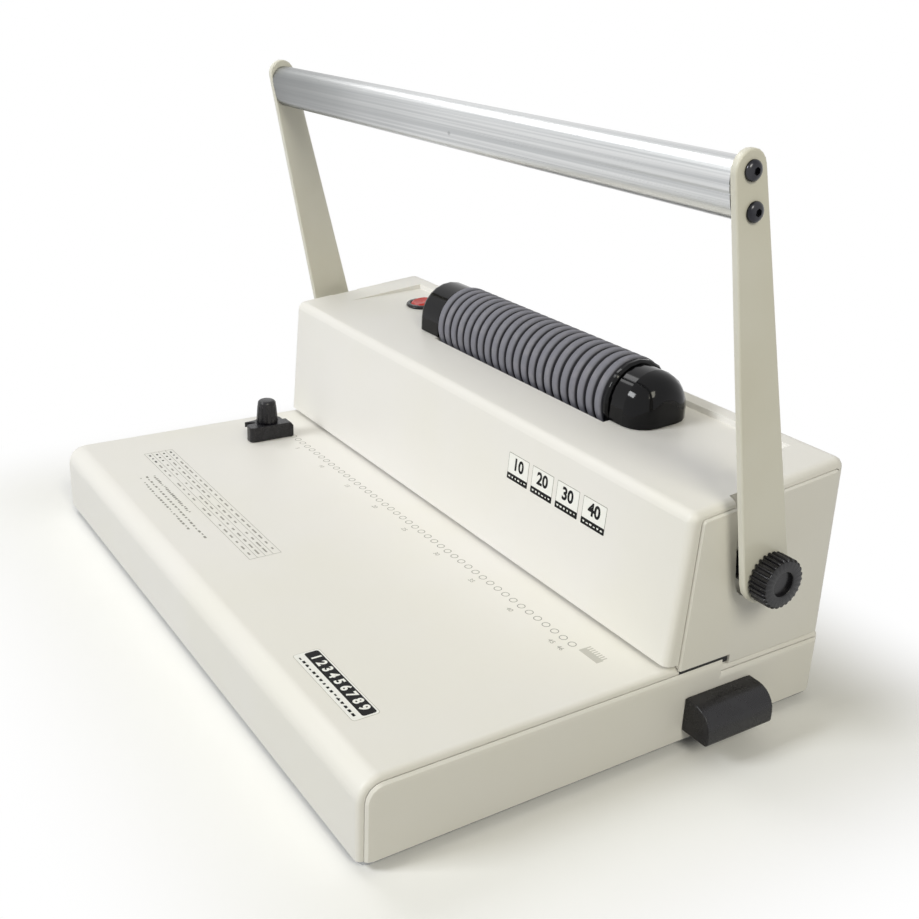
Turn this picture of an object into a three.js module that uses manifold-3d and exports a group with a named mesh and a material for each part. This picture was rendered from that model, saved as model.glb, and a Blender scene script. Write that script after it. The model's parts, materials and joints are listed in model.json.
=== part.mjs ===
// A desk machine that punches a row of round holes along a sheet and spins a plastic coil into them.
// Millimetres, +Z up, +X to the user's right, +Y to the back. The origin is on the table, under the middle.
import * as THREE from "three";
import { mergeVertices } from "three/addons/utils/BufferGeometryUtils.js";
import Module from "manifold-3d";

const wasm = await Module();
wasm.setup();

// Fits and joints between pieces
const clearance = 0.3; // gap between pieces that touch
const overrun = 1; // how far a cutter runs past what it cuts
const turnedEdge = 1; // chamfer on turned pieces

// Hole row and punch
const holeCount = 46;
const holePitch = 6.35;
const pinRadius = 2;
const holeSides = 8;
const pinSides = 6;
const punchMargin = 4.5; // back stop to hole centres
const pinPlay = 0.45; // between a pin and its hole, all round
const pinStagger = 0.8; // pins come in three lengths, so that they don't all bite at once
const pinTipLift = 0.6; // shortest way from the throat's roof to a pin tip
const guideHeight = 10;
const guideFront = 13.5; // guide block in front of the hole row
const guideBack = 7.5;
const dieHeight = 12;
const dieFront = 12.5;
const dieBack = 12.5;
const barHeight = 6.8;
const barFront = 13;
const barBack = 5.5;
const barEndGap = 4; // punch bar end to side frame
const barLift = 12.2; // guide block top to punch bar at rest
const gaugeDepth = 2.7; // back stop strip
const springFromPinion = 60;
const springFront = 8.5; // spring axis in front of the hole row
const springRadius = 2.6; // wire centre
const springWire = 0.5; // wire radius
const springTurns = 6;
const springPocket = 8; // blind pocket in the guide block that holds a spring

// Base and paper tray
const rowToEnd = 40.1; // outermost hole to the body's end face
const trayDepth = 145.7; // front of the tray to the tower's foot
const footHeight = 3;
const footRadius = 9;
const footTipRadius = 7.5;
const footInset = 27; // foot centre from the edges of the base
const baseWall = 3;
const plateThickness = 1.5;
const plateInset = 1.6; // bottom plate edge behind the shell's faces
const frontEdgeRadius = 10;
const trayEndEdge = 2.5; // rounding of the tray's two ends
const endPanelStandOut = 2; // end panel face outside the tray's end
const endPanelInset = 1.8; // end panel outline inside the tray's
const endPanelEdge = 4; // rounding round the end panel's face
const endPanelDepth = 10; // end panel, measured along the machine
const deckDrop = 6; // rear deck under the tower, below the paper surface

// Tower over the punch
const throatGap = 2.3; // slot that the sheets go into
const throatDepth = 35.9;
const pivotBehindThroat = 4.8; // pivot axis behind the throat's end
const rollerBehindPivot = 15.6;
const rollerToBack = 39; // roller axis to the tower's back
const towerBackInset = 0.6; // tower back in front of the base's back
const towerEndInset = 1.7; // tower end face inside the base's
const towerFrontRise = 71.9; // paper surface to the tower's front top edge
const towerFrontLean = 4.8; // front top edge behind the foot
const towerBackLean = 1.8; // back top edge in front of the foot
const towerTopRise = 9.5; // front top edge to back top edge
const towerWall = 2.5;
const towerEndWall = 6.5;
const towerEndEdge = 4; // rounding round the tower's two ends
const hoodFrontRadius = 5;
const hoodBackRadius = 5;
const dishSetback = 26.3; // sunk part of the top, behind the front top edge
const dishRise = 2.65; // its floor, front edge to rail
const dishRim = 22.3; // full-height top at each end
const railDepth = 11.4; // raised rail along the back of the dish
const railRadius = 1.2;
const coverFront = 6.9; // side cover's edges inside the tower's outline
const coverLean = 3.3;
const coverDrop = 3.8;
const coverBackDrop = 5.1;
const coverBack = 4.2;
const coverCorner = 2;
const coverRaise = 1; // cover's face outside the end wall
const coverSeat = 1.8; // recess in the end wall that holds it
const coverChamfer = 0.8;
const coverSkirt = 3; // hangs below the throat's roof
const skirtThickness = 1.4;
const coverBackLift = 0.9; // rear lower edge above the tower's
const armSlotRadius = 9.4; // slot in the cover and the end wall, behind the arm
const armSlotDepth = 5.3;
const armSlotBack = 1.9; // its lower end, from the pivot
const armSlotDrop = 5.2;
const armSlotDegrees = 7.8; // leans forward

// Side frames
const frameThickness = 3;
const frameInRim = 5; // inner face inside the rim's inner edge
const frameFront = 5; // jaw behind the tower's front face
const jawLift = 2.8; // upper jaw above the throat's roof

// Handle and its gears
const leanDegrees = 13.4; // handle leans forward at rest
const shaftRadius = 5;
const shaftSquare = 7; // square end that carries the arm
const studRadius = 2.5; // threaded end for the hand knob
const studLength = 4.5;
const roundSides = 16;
const arcSteps = 10; // facets of a half circle
const armStandOff = 8.9; // arm's outer face outside the body
const armThickness = 3.5;
const armBottomRadius = 12.9;
const armTopRadius = 7.6;
const armReach = 172.4; // pivot to upper screw
const armScrewSpacing = 14.9;
const barSectionHeight = 23; // along the arm
const barSectionDepth = 15;
const barSectionWall = 1.8;
const barPortRadius = 2.5;
const barGrooveLow = 0.4; // three fine grooves, above the bar's middle
const barGrooveMiddle = 3.5;
const barGrooveHigh = 7.4;
const barGrooveWidth = 0.8;
const barGrooveDepth = 0.4;
const screwHeadRadius = 4;
const screwHeadHeight = 2.2;
const screwShankRadius = 2.1;
const screwLength = 12;
const socketRadius = 1.5;
const socketDepth = 1.2;
const pinionTeeth = 17;
const gearModule = 1;
const addendum = 0.9 * gearModule; // pinion's teeth beyond the pitch circle
const backlash = 0.3;
const pinionWidth = 9;
const pinionInFrame = 24; // inside the side frame
const rackDepth = 5; // plate behind the rack's teeth
const rackAbove = 19.5; // rack top above the pivot
const pressureAngle = Math.PI / 9;
const collarRadius = 7.5;
const bushRadius = 8.5;
const bushFlangeRadius = 11;
const bushFlange = 1.5;
const knobRadius = 11.4;
const knobRibDepth = 1.1;
const knobRibs = 26;
const knobDepth = 9.2;
const knobBevel = 0.8;
const knobRecessRadius = 5.5;
const knobRecessDepth = 3.5;

// Coil inserter
const rollerRadius = 20;
const rollerGrooveRadius = 17.8;
const rollerBore = 15.6;
const rollerRings = 22;
const ringPitch = 6.7;
const ringGroove = 2.6;
const rollerCentreX = 9.1;
const rollerLift = 11; // axis above the tower's front top edge
const rollerSides = 18;
const rollerShaftRadius = 4;
const collarWidth = 2.7;
const rollerCollarRadius = 19.5;
const domeWall = 2;
const rightDomeRadius = 17.5;
const rightDomeLength = 21.5;
const rightDomeRounding = 12;
const leftDomeRadius = 18.9;
const leftDomeLength = 20.5;
const leftDomeRounding = 3.5;
const slotMargin = 0.8; // roller slot wider than the roller
const bracketThickness = 2;
const bracketHalfWidth = 8;
const bracketFoot = 9;
const rollerPulleyRadius = 12;
const motorPulleyRadius = 6.5;
const pulleyWidth = 5;
const pulleyFlange = 0.8;
const pulleyFlangeRise = 1.2;
const beltThickness = 1.5;
const motorShaftRadius = 2.2;
const motorRadius = 17;
const motorLength = 46;
const motorToBack = 27; // motor axis to the tower's back
const motorBelowPivot = 12;
const motorPlate = 2;

// Switch and power inlet
const switchFromRim = 33.5; // centre inside the rim's inner edge
const switchBehindPivot = 23.1;
const bezelRadius = 10;
const bezelRise = 1.6;
const bezelBore = 7.6;
const cupRadius = 8.7;
const cupDepth = 11;
const cupFloor = 1.5;
const rockerRadius = 6.9;
const rockerTilt = 8; // degrees, each way
const rockerCrown = 1.4;
const rockerThickness = 4;
const inletFromRim = 27;
const inletRise = 22; // above the paper surface
const inletWidth = 24;
const inletHeight = 17;
const inletFlange = 3.2;
const inletFlangeThickness = 1.3;
const inletDepth = 18;
const socketWall = 1.4;
const contactLength = 7;
const contactWidth = 2;
const contactSpacing = 7;
const contactHeight = 4;
const inletFloor = 3;

// Edge guide on the tray
const markBeforeHoles = 51.1; // row of hole marks in front of the hole row
const guideFromHole = 6.275; // face that the sheets lie against, inside the outermost hole
const guideBarWidth = 8;
const guideBarFront = 28; // bar front before the hole marks
const guideBarLength = 28;
const guideBarHeight = 9.2;
const guideCorner = 2.5;
const guideBossRadius = 7.8;
const guideBossInset = 8; // boss centre behind the bar's face
const guideBossFront = 13.9; // boss centre before the hole marks
const guideWing = 3.2; // thickness of the pointed wing
const guideTravel = 4;
const guideStudRadius = 2;
const guideKnobBase = 6.5;
const guideKnobTop = 5.7;
const guideKnobHeight = 13.6;
const guideKnobFlutes = 12;
const guideKnobFluteDepth = 0.45;
const nutSize = 9;
const nutHeight = 2.6;

// Chip drawer
const drawerBeforeHoles = 19.8; // grip's front end in front of the hole row
const drawerEndRoom = 35; // between the drawer's inner end and the far end face
const gripWidth = 38.1;
const gripReach = 15.6;
const gripBottom = 10.5;
const gripHeight = 15.9;
const chipDrop = 2.6; // from the die down to the grip's top
const gripRadius = 10;
const gripWall = 2;
const drawerWall = 1.5;
const drawerInset = 1.9; // drawer box narrower than its grip, each side
const drawerBottomLift = 0.7;
const channelThickness = 1.1;
const channelLip = 10; // side walls of the channel above its floor

// Places worked out from the sizes above
const lastHoleX = ((holeCount - 1) * holePitch) / 2;
const halfWidth = lastHoleX + rowToEnd;
const towerDepth = throatDepth + pivotBehindThroat + rollerBehindPivot + rollerToBack;
const baseDepth = trayDepth + towerDepth + towerBackInset;
const baseFront = -baseDepth / 2;
const baseBack = baseDepth / 2;
const trayTop = gripBottom + gripHeight + chipDrop + dieHeight;
const trayEndX = halfWidth - endPanelStandOut;
const plateTop = footHeight + plateThickness;
const shellBottom = plateTop + clearance;
const deckTop = trayTop - deckDrop;
const towerFront = baseFront + trayDepth;
const towerBack = towerFront + towerDepth;
const towerTopFront = trayTop + towerFrontRise;
const throatTop = trayTop + throatGap;
const throatEnd = towerFront + throatDepth;
const punchY = throatEnd - punchMargin;
const markY = punchY - markBeforeHoles;
const towerBottom = deckTop + clearance;
const hoodEndX = halfWidth - towerEndInset;
const coverX = hoodEndX + coverRaise;
const rimX = hoodEndX - dishRim;
const frameInnerX = rimX - frameInRim;
const guideBottom = throatTop + clearance;
const guideTop = guideBottom + guideHeight;
const barBottom = guideTop + barLift;
const barTop = barBottom + barHeight;
const pitchRadius = (gearModule * pinionTeeth) / 2;
const pivotY = throatEnd + pivotBehindThroat;
const pivotZ = barTop + clearance + addendum + pitchRadius;
const lean = (leanDegrees * Math.PI) / 180;
const armOuterX = halfWidth + armStandOff;
const pinionX = frameInnerX - pinionInFrame;
const springX = pinionX - springFromPinion;
const rollerY = pivotY + rollerBehindPivot;
const rollerZ = towerTopFront + rollerLift;
const rollerLength = rollerRings * ringPitch;
const rollerLeft = rollerCentreX - rollerLength / 2;
const rollerRight = rollerCentreX + rollerLength / 2;
const switchX = switchFromRim - rimX;
const switchY = pivotY + switchBehindPivot;
const inletX = inletFromRim - rimX;
const inletZ = trayTop + inletRise;
const guideFaceX = guideFromHole - lastHoleX;
const drawerFront = punchY - drawerBeforeHoles;
const drawerLength = halfWidth * 2 - drawerEndRoom;

// The tower's leaning front and back, its sloping top and the sunk dish in that top
const hoodTopY = towerFront + towerFrontLean;
const hoodBackY = towerBack - towerBackLean;
const topBack = towerTopFront + towerTopRise;
const frontSlope = towerFrontLean / (towerTopFront - throatTop);
const backSlope = towerBackLean / (topBack - towerBottom);
const topSlope = towerTopRise / (hoodBackY - hoodTopY);
const dishFront = hoodTopY + dishSetback;
const railFront = hoodBackY - railDepth;
const dishSlope = dishRise / (railFront - dishFront);
const frontAt = (z) => towerFront + frontSlope * (z - throatTop);
const backAt = (z) => towerBack - backSlope * (z - towerBottom);
const topAt = (y) => towerTopFront + topSlope * (y - hoodTopY);
const dishAt = (y) => topAt(dishFront) + dishSlope * (y - dishFront);

// Finishes
const finish = (color, roughness, metalness) =>
  new THREE.MeshStandardMaterial({ color, roughness, metalness });
const ivory = finish(0xe4e1d6, 0.5, 0);
const ivoryPaint = finish(0xcfccbd, 0.45, 0.1);
const glossBlack = finish(0x141414, 0.15, 0);
const satinBlack = finish(0x1b1b1e, 0.45, 0);
const greyRubber = finish(0x85858c, 0.8, 0);
const brushedAluminium = finish(0xc9ccce, 0.35, 0.9);
const steel = finish(0x8f9296, 0.4, 0.9);
const zincSteel = finish(0xb3b5b3, 0.45, 0.85);
const bronze = finish(0xa9824b, 0.4, 0.9);
const footRubber = finish(0x26262a, 0.9, 0);
const redPlastic = finish(0xb5271a, 0.25, 0);

// Turning geometry into solids and back
function solid(geometry) {
  const bare = geometry.clone();
  bare.deleteAttribute("normal");
  bare.deleteAttribute("uv");
  const merged = mergeVertices(bare);
  const triVerts = new Uint32Array(merged.index.array);
  const vertProperties = new Float32Array(merged.attributes.position.array);
  return new wasm.Manifold(new wasm.Mesh({ numProp: 3, vertProperties, triVerts }));
}

function geometryOf(body) {
  const mesh = body.getMesh();
  const geometry = new THREE.BufferGeometry();
  geometry.setAttribute("position", new THREE.BufferAttribute(mesh.vertProperties, 3));
  geometry.setIndex(new THREE.BufferAttribute(mesh.triVerts, 1));
  return geometry;
}

const machine = new THREE.Group();
machine.name = "coil_binding_machine";
const handleGroup = new THREE.Group();
handleGroup.position.set(0, pivotY, pivotZ);
handleGroup.rotation.x = lean;
machine.add(handleGroup);

function add(name, body, material, parent = machine) {
  const mesh = new THREE.Mesh(geometryOf(body), material);
  mesh.name = name;
  parent.add(mesh);
  return mesh;
}

// Basic shapes
function box(x0, x1, y0, y1, z0, z1) {
  const geometry = new THREE.BoxGeometry(x1 - x0, y1 - y0, z1 - z0);
  geometry.translate((x0 + x1) / 2, (y0 + y1) / 2, (z0 + z1) / 2);
  return solid(geometry);
}

// Extrusion along Z, X or Y. An outline for X lists (y, z), one for Y lists (z, x).
const alongX = new THREE.Matrix4().set(0, 0, 1, 0, 1, 0, 0, 0, 0, 1, 0, 0, 0, 0, 0, 1);
const alongY = new THREE.Matrix4().set(0, 1, 0, 0, 0, 0, 1, 0, 1, 0, 0, 0, 0, 0, 0, 1);
const alongZ = new THREE.Matrix4();

function prism(axis, outline, from, to, edge = 0, steps = 3) {
  const depth = to - from - edge * 2;
  const geometry = new THREE.ExtrudeGeometry(new THREE.Shape(outline), {
    depth,
    bevelEnabled: edge > 0,
    bevelThickness: edge,
    bevelSize: edge,
    bevelOffset: -edge,
    bevelSegments: steps,
  });
  geometry.translate(0, 0, from + edge);
  geometry.applyMatrix4(axis);
  return solid(geometry);
}

// An outline from corners, each a point and the radius that rounds it.
function outlineOf(corners, steps = 4) {
  const points = [];
  corners.forEach(([a, b, radius = 0], i) => {
    const corner = new THREE.Vector2(a, b);
    if (radius <= 0) {
      points.push(corner);
      return;
    }
    const before = corners[(i + corners.length - 1) % corners.length];
    const after = corners[(i + 1) % corners.length];
    const back = new THREE.Vector2(before[0], before[1]).sub(corner).normalize();
    const ahead = new THREE.Vector2(after[0], after[1]).sub(corner).normalize();
    const half = Math.acos(THREE.MathUtils.clamp(back.dot(ahead), -1, 1)) / 2;
    const centre = corner.clone().add(
      back.clone().add(ahead).normalize().multiplyScalar(radius / Math.sin(half)),
    );
    const reach = radius / Math.tan(half);
    const start = corner.clone().addScaledVector(back, reach).sub(centre);
    const end = corner.clone().addScaledVector(ahead, reach).sub(centre);
    const turn = Math.atan2(start.cross(end), start.dot(end));
    for (let k = 0; k <= steps; k += 1) {
      points.push(start.clone().rotateAround(new THREE.Vector2(), (turn * k) / steps).add(centre));
    }
  });
  return points;
}

function circle(a, b, radius, sides, phase = 0) {
  return Array.from({ length: sides }, (_, k) => {
    const angle = phase + (2 * Math.PI * k) / sides;
    return new THREE.Vector2(a + radius * Math.cos(angle), b + radius * Math.sin(angle));
  });
}

const rodX = (y, z, radius, from, to, sides = roundSides) =>
  prism(alongX, circle(y, z, radius, sides), from, to);
const rodZ = (x, y, radius, from, to, sides = roundSides) =>
  prism(alongZ, circle(x, y, radius, sides), from, to);
const mirrorX = (body) => body.mirror([1, 0, 0]);

// Outline of two circles and the straight tangents that join them, the bigger one at the start.
function taperedOutline(bigRadius, smallRadius, reach, steps) {
  const tilt = Math.asin((bigRadius - smallRadius) / reach);
  const points = [];
  for (let k = 0; k <= steps; k += 1) {
    const angle = Math.PI - tilt + ((Math.PI + 2 * tilt) * k) / steps;
    points.push(new THREE.Vector2(bigRadius * Math.cos(angle), bigRadius * Math.sin(angle)));
  }
  for (let k = 0; k <= steps; k += 1) {
    const angle = tilt + ((Math.PI - 2 * tilt) * k) / steps;
    points.push(
      new THREE.Vector2(smallRadius * Math.cos(angle), reach + smallRadius * Math.sin(angle)),
    );
  }
  return points;
}

// A turned piece along X. The profile lists (x, radius) and starts and ends on the axis.
function turnedX(profile, y, z, sides = roundSides) {
  const points = profile.map(([x, radius]) => new THREE.Vector2(radius, x));
  const geometry = new THREE.LatheGeometry(points, sides);
  geometry.rotateZ(-Math.PI / 2);
  geometry.translate(0, y, z);
  return solid(geometry);
}

// A turned piece along Z, about the local origin. The profile lists (z, radius).
function turnedZ(profile, sides = roundSides) {
  const points = profile.map(([z, radius]) => new THREE.Vector2(radius, z));
  const geometry = new THREE.LatheGeometry(points, sides);
  geometry.rotateX(Math.PI / 2);
  return solid(geometry);
}

// A closed skin through rings of points, with a fan about the ring's middle at each end.
function loft(rings) {
  const count = rings[0].length;
  const middleOf = (ring) =>
    ring.reduce((sum, p) => sum.add(p), new THREE.Vector3()).divideScalar(count);
  const positions = [...rings.flat(), middleOf(rings[0]), middleOf(rings.at(-1))]
    .flatMap((p) => [p.x, p.y, p.z]);
  const indices = [];
  for (let r = 0; r + 1 < rings.length; r += 1) {
    for (let k = 0; k < count; k += 1) {
      const a = r * count + k;
      const b = r * count + ((k + 1) % count);
      indices.push(a, b, b + count, a, b + count, a + count);
    }
  }
  const last = (rings.length - 1) * count;
  const middle = rings.length * count;
  for (let k = 0; k < count; k += 1) {
    const next = (k + 1) % count;
    indices.push(middle, next, k, middle + 1, last + k, last + next);
  }
  const geometry = new THREE.BufferGeometry();
  geometry.setAttribute("position", new THREE.Float32BufferAttribute(positions, 3));
  geometry.setIndex(indices);
  return solid(geometry);
}

// Base: tray shell, end panels, bottom plate and feet
function baseOutline(inset, bottom) {
  const backRadius = inset > 0 ? 0 : trayEndEdge + clearance;
  return outlineOf([
    [baseFront + inset, bottom],
    [baseBack - inset, bottom],
    [baseBack - inset, deckTop - inset, backRadius],
    [throatEnd - inset, deckTop - inset],
    [throatEnd - inset, trayTop - inset],
    [baseFront + inset, trayTop - inset, frontEdgeRadius - inset],
  ]);
}

function baseTray() {
  const below = shellBottom - trayEndEdge - overrun;
  const outer = prism(alongX, baseOutline(0, below), -trayEndX, trayEndX, trayEndEdge);
  const cavity = prism(alongX, baseOutline(baseWall, below - overrun), -halfWidth, halfWidth);
  const underside = box(-halfWidth, halfWidth, baseFront - overrun, baseBack + overrun,
    below - overrun, shellBottom);
  const windowX = frameInnerX + frameThickness + overrun;
  const riserFront = throatEnd - baseWall;
  const dieWindow = box(-frameInnerX, frameInnerX, punchY - dieFront - clearance,
    throatEnd + overrun, deckTop - baseWall - overrun, trayTop + overrun);
  const frameWindow = box(-windowX, windowX, riserFront - clearance, throatEnd + overrun,
    deckTop - baseWall - overrun, trayTop - baseWall);
  const rearWindow = box(-windowX, windowX, throatEnd, baseBack - baseWall,
    deckTop - baseWall - overrun, trayTop + overrun);
  const boss = guideBossCentre();
  const slotHalf = guideStudRadius + clearance;
  const guideSlot = box(boss.x - guideTravel - slotHalf, boss.x + guideTravel + slotHalf,
    boss.y - slotHalf, boss.y + slotHalf, deckTop, trayTop + overrun);
  return outer.subtract(cavity).subtract(underside).subtract(dieWindow)
    .subtract(frameWindow).subtract(rearWindow).subtract(guideSlot);
}

function guideBossCentre() {
  return { x: guideFaceX - guideBossInset, y: markY - guideBossFront };
}

const drawerSides = {
  front: drawerFront + drawerInset,
  back: drawerFront + gripWidth - drawerInset,
  bottom: gripBottom + drawerBottomLift,
  top: gripBottom + gripHeight - drawerBottomLift,
};

function baseEnd(hasDrawer) {
  const inset = baseWall + clearance;
  const below = shellBottom - endPanelEdge - overrun;
  const panelInner = halfWidth - endPanelDepth;
  const inner = prism(alongX, baseOutline(inset, below), panelInner,
    trayEndX + clearance + overrun / 2);
  const outer = prism(alongX, baseOutline(endPanelInset, below), panelInner,
    halfWidth, endPanelEdge)
    .subtract(box(panelInner - overrun, trayEndX + clearance, baseFront, baseBack,
      below - overrun, trayTop));
  const underside = box(panelInner - overrun, halfWidth + overrun, baseFront, baseBack,
    below - overrun, shellBottom);
  let panel = inner.add(outer).subtract(underside);
  if (hasDrawer) {
    panel = panel.subtract(box(panelInner - overrun, halfWidth + overrun,
      drawerSides.front - clearance, drawerSides.back + clearance,
      drawerSides.bottom - clearance, drawerSides.top + clearance));
  }
  return panel;
}

function bottomPlate() {
  const corner = plateInset * 2;
  const front = baseFront + plateInset;
  const back = baseBack - plateInset;
  const side = halfWidth - plateInset;
  return prism(alongZ, outlineOf([
    [-side, front, corner], [side, front, corner], [side, back, corner], [-side, back, corner],
  ], 2), footHeight, plateTop);
}

function foot(x, y) {
  const top = footHeight - clearance;
  return turnedZ([[0, 0], [0, footTipRadius], [top, footRadius], [top, 0]])
    .translate([x, y, 0]);
}

add("base_tray", baseTray(), ivory);
add("base_end_right", baseEnd(true), ivory);
add("base_end_left", mirrorX(baseEnd(false)), ivory);
add("bottom_plate", bottomPlate(), steel);
for (const [side, sx] of [["left", -1], ["right", 1]]) {
  for (const [row, sy] of [["front", -1], ["rear", 1]]) {
    const x = sx * (halfWidth - footInset);
    const y = sy * (baseBack - footInset);
    add(`foot_${row}_${side}`, foot(x, y), footRubber);
  }
}

// Tower: one hood, rounded round both ends, with a sunk dish in its top
function towerHood() {
  const below = towerBottom - towerEndEdge - overrun;
  const above = topBack + overrun;
  const outer = prism(alongX, outlineOf([
    [frontAt(below), below], [backAt(below), below],
    [hoodBackY, topBack, hoodBackRadius], [hoodTopY, towerTopFront, hoodFrontRadius],
  ]), -hoodEndX, hoodEndX, towerEndEdge, 4);
  const wide = (front, back, bottom, top) =>
    box(-halfWidth, halfWidth, front, back, bottom, top);
  const underThroat = wide(baseFront, throatEnd + clearance, below - overrun, throatTop);
  const underTower = wide(baseFront, baseBack, below - overrun, towerBottom);
  const dish = prism(alongX, outlineOf([
    [dishFront, topAt(dishFront)], [railFront, dishAt(railFront)],
    [railFront, topAt(railFront) - railRadius], [railFront + railRadius, above],
    [dishFront, above],
  ]), -rimX, rimX);
  const innerX = hoodEndX - towerEndWall;
  const lipBack = punchY - guideFront - clearance;
  const lipTop = throatTop + towerWall;
  const innerBack = hoodBackY - towerWall;
  const innerFront = hoodTopY + towerWall;
  const hollow = prism(alongX, outlineOf([
    [lipBack, below - overrun], [backAt(below) - towerWall, below - overrun],
    [innerBack, dishAt(innerBack) - towerWall], [dishFront, topAt(dishFront) - towerWall],
    [innerFront, topAt(innerFront) - towerWall], [frontAt(lipTop) + towerWall, lipTop],
    [lipBack, lipTop],
  ]), -innerX, innerX);
  const slotHalf = rollerRadius + slotMargin;
  const endSlotHalf = rightDomeRadius - domeWall;
  const slotBottom = towerTopFront - towerWall * 2;
  const rollerSlot = box(rollerLeft - slotMargin, rollerRight + collarWidth + slotMargin,
    rollerY - slotHalf, rollerY + slotHalf, slotBottom, above);
  const endSlot = box(bracketLeftX - bracketThickness - slotMargin,
    bracketRightX + bracketThickness + slotMargin,
    rollerY - endSlotHalf, rollerY + endSlotHalf, slotBottom, above);
  const switchHole = rodZ(switchX, switchY, cupRadius + clearance * 2, slotBottom, above);
  const inletHole = box(inletX - inletWidth / 2 - clearance, inletX + inletWidth / 2 + clearance,
    innerBack - overrun, towerBack + overrun,
    inletZ - inletHeight / 2 - clearance * 2, inletZ + inletHeight / 2 + clearance * 2);
  const endCut = prism(alongX, coverOutline(clearance, below), hoodEndX - coverSeat,
    halfWidth + overrun)
    .add(armSlot(coverX - armSlotDepth))
    .add(rodX(pivotY, pivotZ, shaftRadius + clearance * 2, innerX - overrun, halfWidth));
  return outer.subtract(underThroat).subtract(underTower).subtract(dish).subtract(hollow)
    .subtract(rollerSlot).subtract(endSlot).subtract(switchHole).subtract(inletHole)
    .subtract(endCut).subtract(mirrorX(endCut));
}

// Outline of the flat cover on each end of the tower, grown all round by a gap.
function coverOutline(gap, bottom) {
  const low = throatTop - coverSkirt;
  const top = towerTopFront - coverDrop;
  const front = (z) => towerFront + coverFront + (coverLean * (z - low)) / (top - low) - gap;
  const back = (z) => backAt(z) - coverBack + gap;
  const backTop = topBack - coverBackDrop + gap;
  return outlineOf([
    [front(bottom), bottom], [back(bottom), bottom],
    [back(backTop), backTop, coverCorner],
    [front(top), topAt(front(top)) - coverDrop + gap, coverCorner],
  ]);
}

// Upright slot behind the arm, from a depth in the end wall out through its face.
function armSlot(from) {
  const low = pivotZ - armSlotDrop;
  const middle = pivotY + armSlotBack;
  const run = topBack + overrun - low;
  const slide = run * Math.tan((armSlotDegrees * Math.PI) / 180);
  const bottom = Array.from({ length: arcSteps + 1 }, (_, k) => {
    const angle = Math.PI + (Math.PI * k) / arcSteps;
    return new THREE.Vector2(middle + armSlotRadius * Math.cos(angle),
      low + armSlotRadius * Math.sin(angle));
  });
  return prism(alongX, [...bottom, new THREE.Vector2(middle + armSlotRadius - slide, low + run),
    new THREE.Vector2(middle - armSlotRadius - slide, low + run)], from, halfWidth + overrun);
}

function sideCover() {
  const inner = hoodEndX - coverSeat + clearance;
  const low = throatTop - coverSkirt;
  const plate = prism(alongX, coverOutline(0, low - towerEndEdge * 2), inner - coverChamfer,
    coverX, coverChamfer, 1);
  const under = (front, back, from, to, top) =>
    box(from, to, front, back, low - towerEndEdge * 3, top);
  const outside = coverX + overrun;
  const inside = inner - coverChamfer * 2;
  return plate
    .subtract(box(inside, inner, baseFront, baseBack, 0, topBack))
    .subtract(under(baseFront, throatEnd + clearance, inside, outside, low))
    .subtract(under(baseFront, throatEnd + clearance, inside, coverX - skirtThickness,
      trayTop + clearance))
    .subtract(under(baseFront, baseBack, inside, outside, towerBottom + coverBackLift))
    .subtract(armSlot(inside));
}

// Frames that carry the shaft, the die and the guide block
function sideFrame() {
  const front = towerFront + frameFront;
  const back = hoodBackY - towerWall - clearance;
  const under = trayTop - baseWall - clearance;
  const jaw = throatTop + jawLift;
  const cover = towerWall + clearance;
  const upperFront = hoodTopY + cover;
  const plate = prism(alongX, outlineOf([
    [front, shellBottom],
    [back, shellBottom],
    [back, dishAt(back) - cover, baseWall],
    [dishFront, topAt(dishFront) - cover],
    [upperFront, topAt(upperFront) - cover, baseWall],
    [upperFront, jaw],
    [throatEnd + clearance, jaw, baseWall / 2],
    [throatEnd + clearance, under],
    [front, under],
  ], 3), frameInnerX, frameInnerX + frameThickness);
  const gap = channelThickness + clearance * 3;
  const drawerWay = box(frameInnerX - overrun, frameInnerX + frameThickness + overrun,
    drawerSides.front - gap, drawerSides.back + gap, 0, drawerSides.top + gap);
  const bore = rodX(pivotY, pivotZ, bushRadius + clearance, frameInnerX - overrun,
    frameInnerX + frameThickness + overrun);
  return plate.subtract(drawerWay).subtract(bore);
}

function shaftBush() {
  const inner = frameInnerX - bushFlange - clearance;
  const outer = frameInnerX + frameThickness + bushFlange;
  const body = rodX(pivotY, pivotZ, bushRadius, inner, outer)
    .add(rodX(pivotY, pivotZ, bushFlangeRadius, inner, frameInnerX - clearance));
  return body.subtract(rodX(pivotY, pivotZ, shaftRadius + clearance, inner - overrun,
    outer + overrun));
}

function pivotCollar() {
  const from = coverX - armSlotDepth + clearance;
  const to = armOuterX - armThickness - clearance;
  return turnedX([
    [from, shaftRadius + clearance], [from, collarRadius - clearance], [from + clearance, collarRadius],
    [to - clearance, collarRadius], [to, collarRadius - clearance], [to, shaftRadius + clearance],
    [from, shaftRadius + clearance],
  ], pivotY, pivotZ);
}

const holeXs = Array.from(
  { length: holeCount }, (_, k) => (k - (holeCount - 1) / 2) * holePitch,
);
const union = (bodies) => wasm.Manifold.union(bodies);
const holeCutters = (from, to) =>
  union(holeXs.map((x) => punchRod(x, pinRadius + pinPlay, from, to, holeSides)));

function punchRod(x, radius, from, to, sides) {
  return prism(alongZ, circle(x, punchY, radius, sides, Math.PI / sides), from, to);
}

function dieBlock() {
  const end = frameInnerX - clearance;
  const bottom = trayTop - dieHeight;
  return box(-end, end, punchY - dieFront, punchY + dieBack, bottom, trayTop)
    .subtract(holeCutters(bottom - overrun, trayTop + overrun));
}

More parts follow.
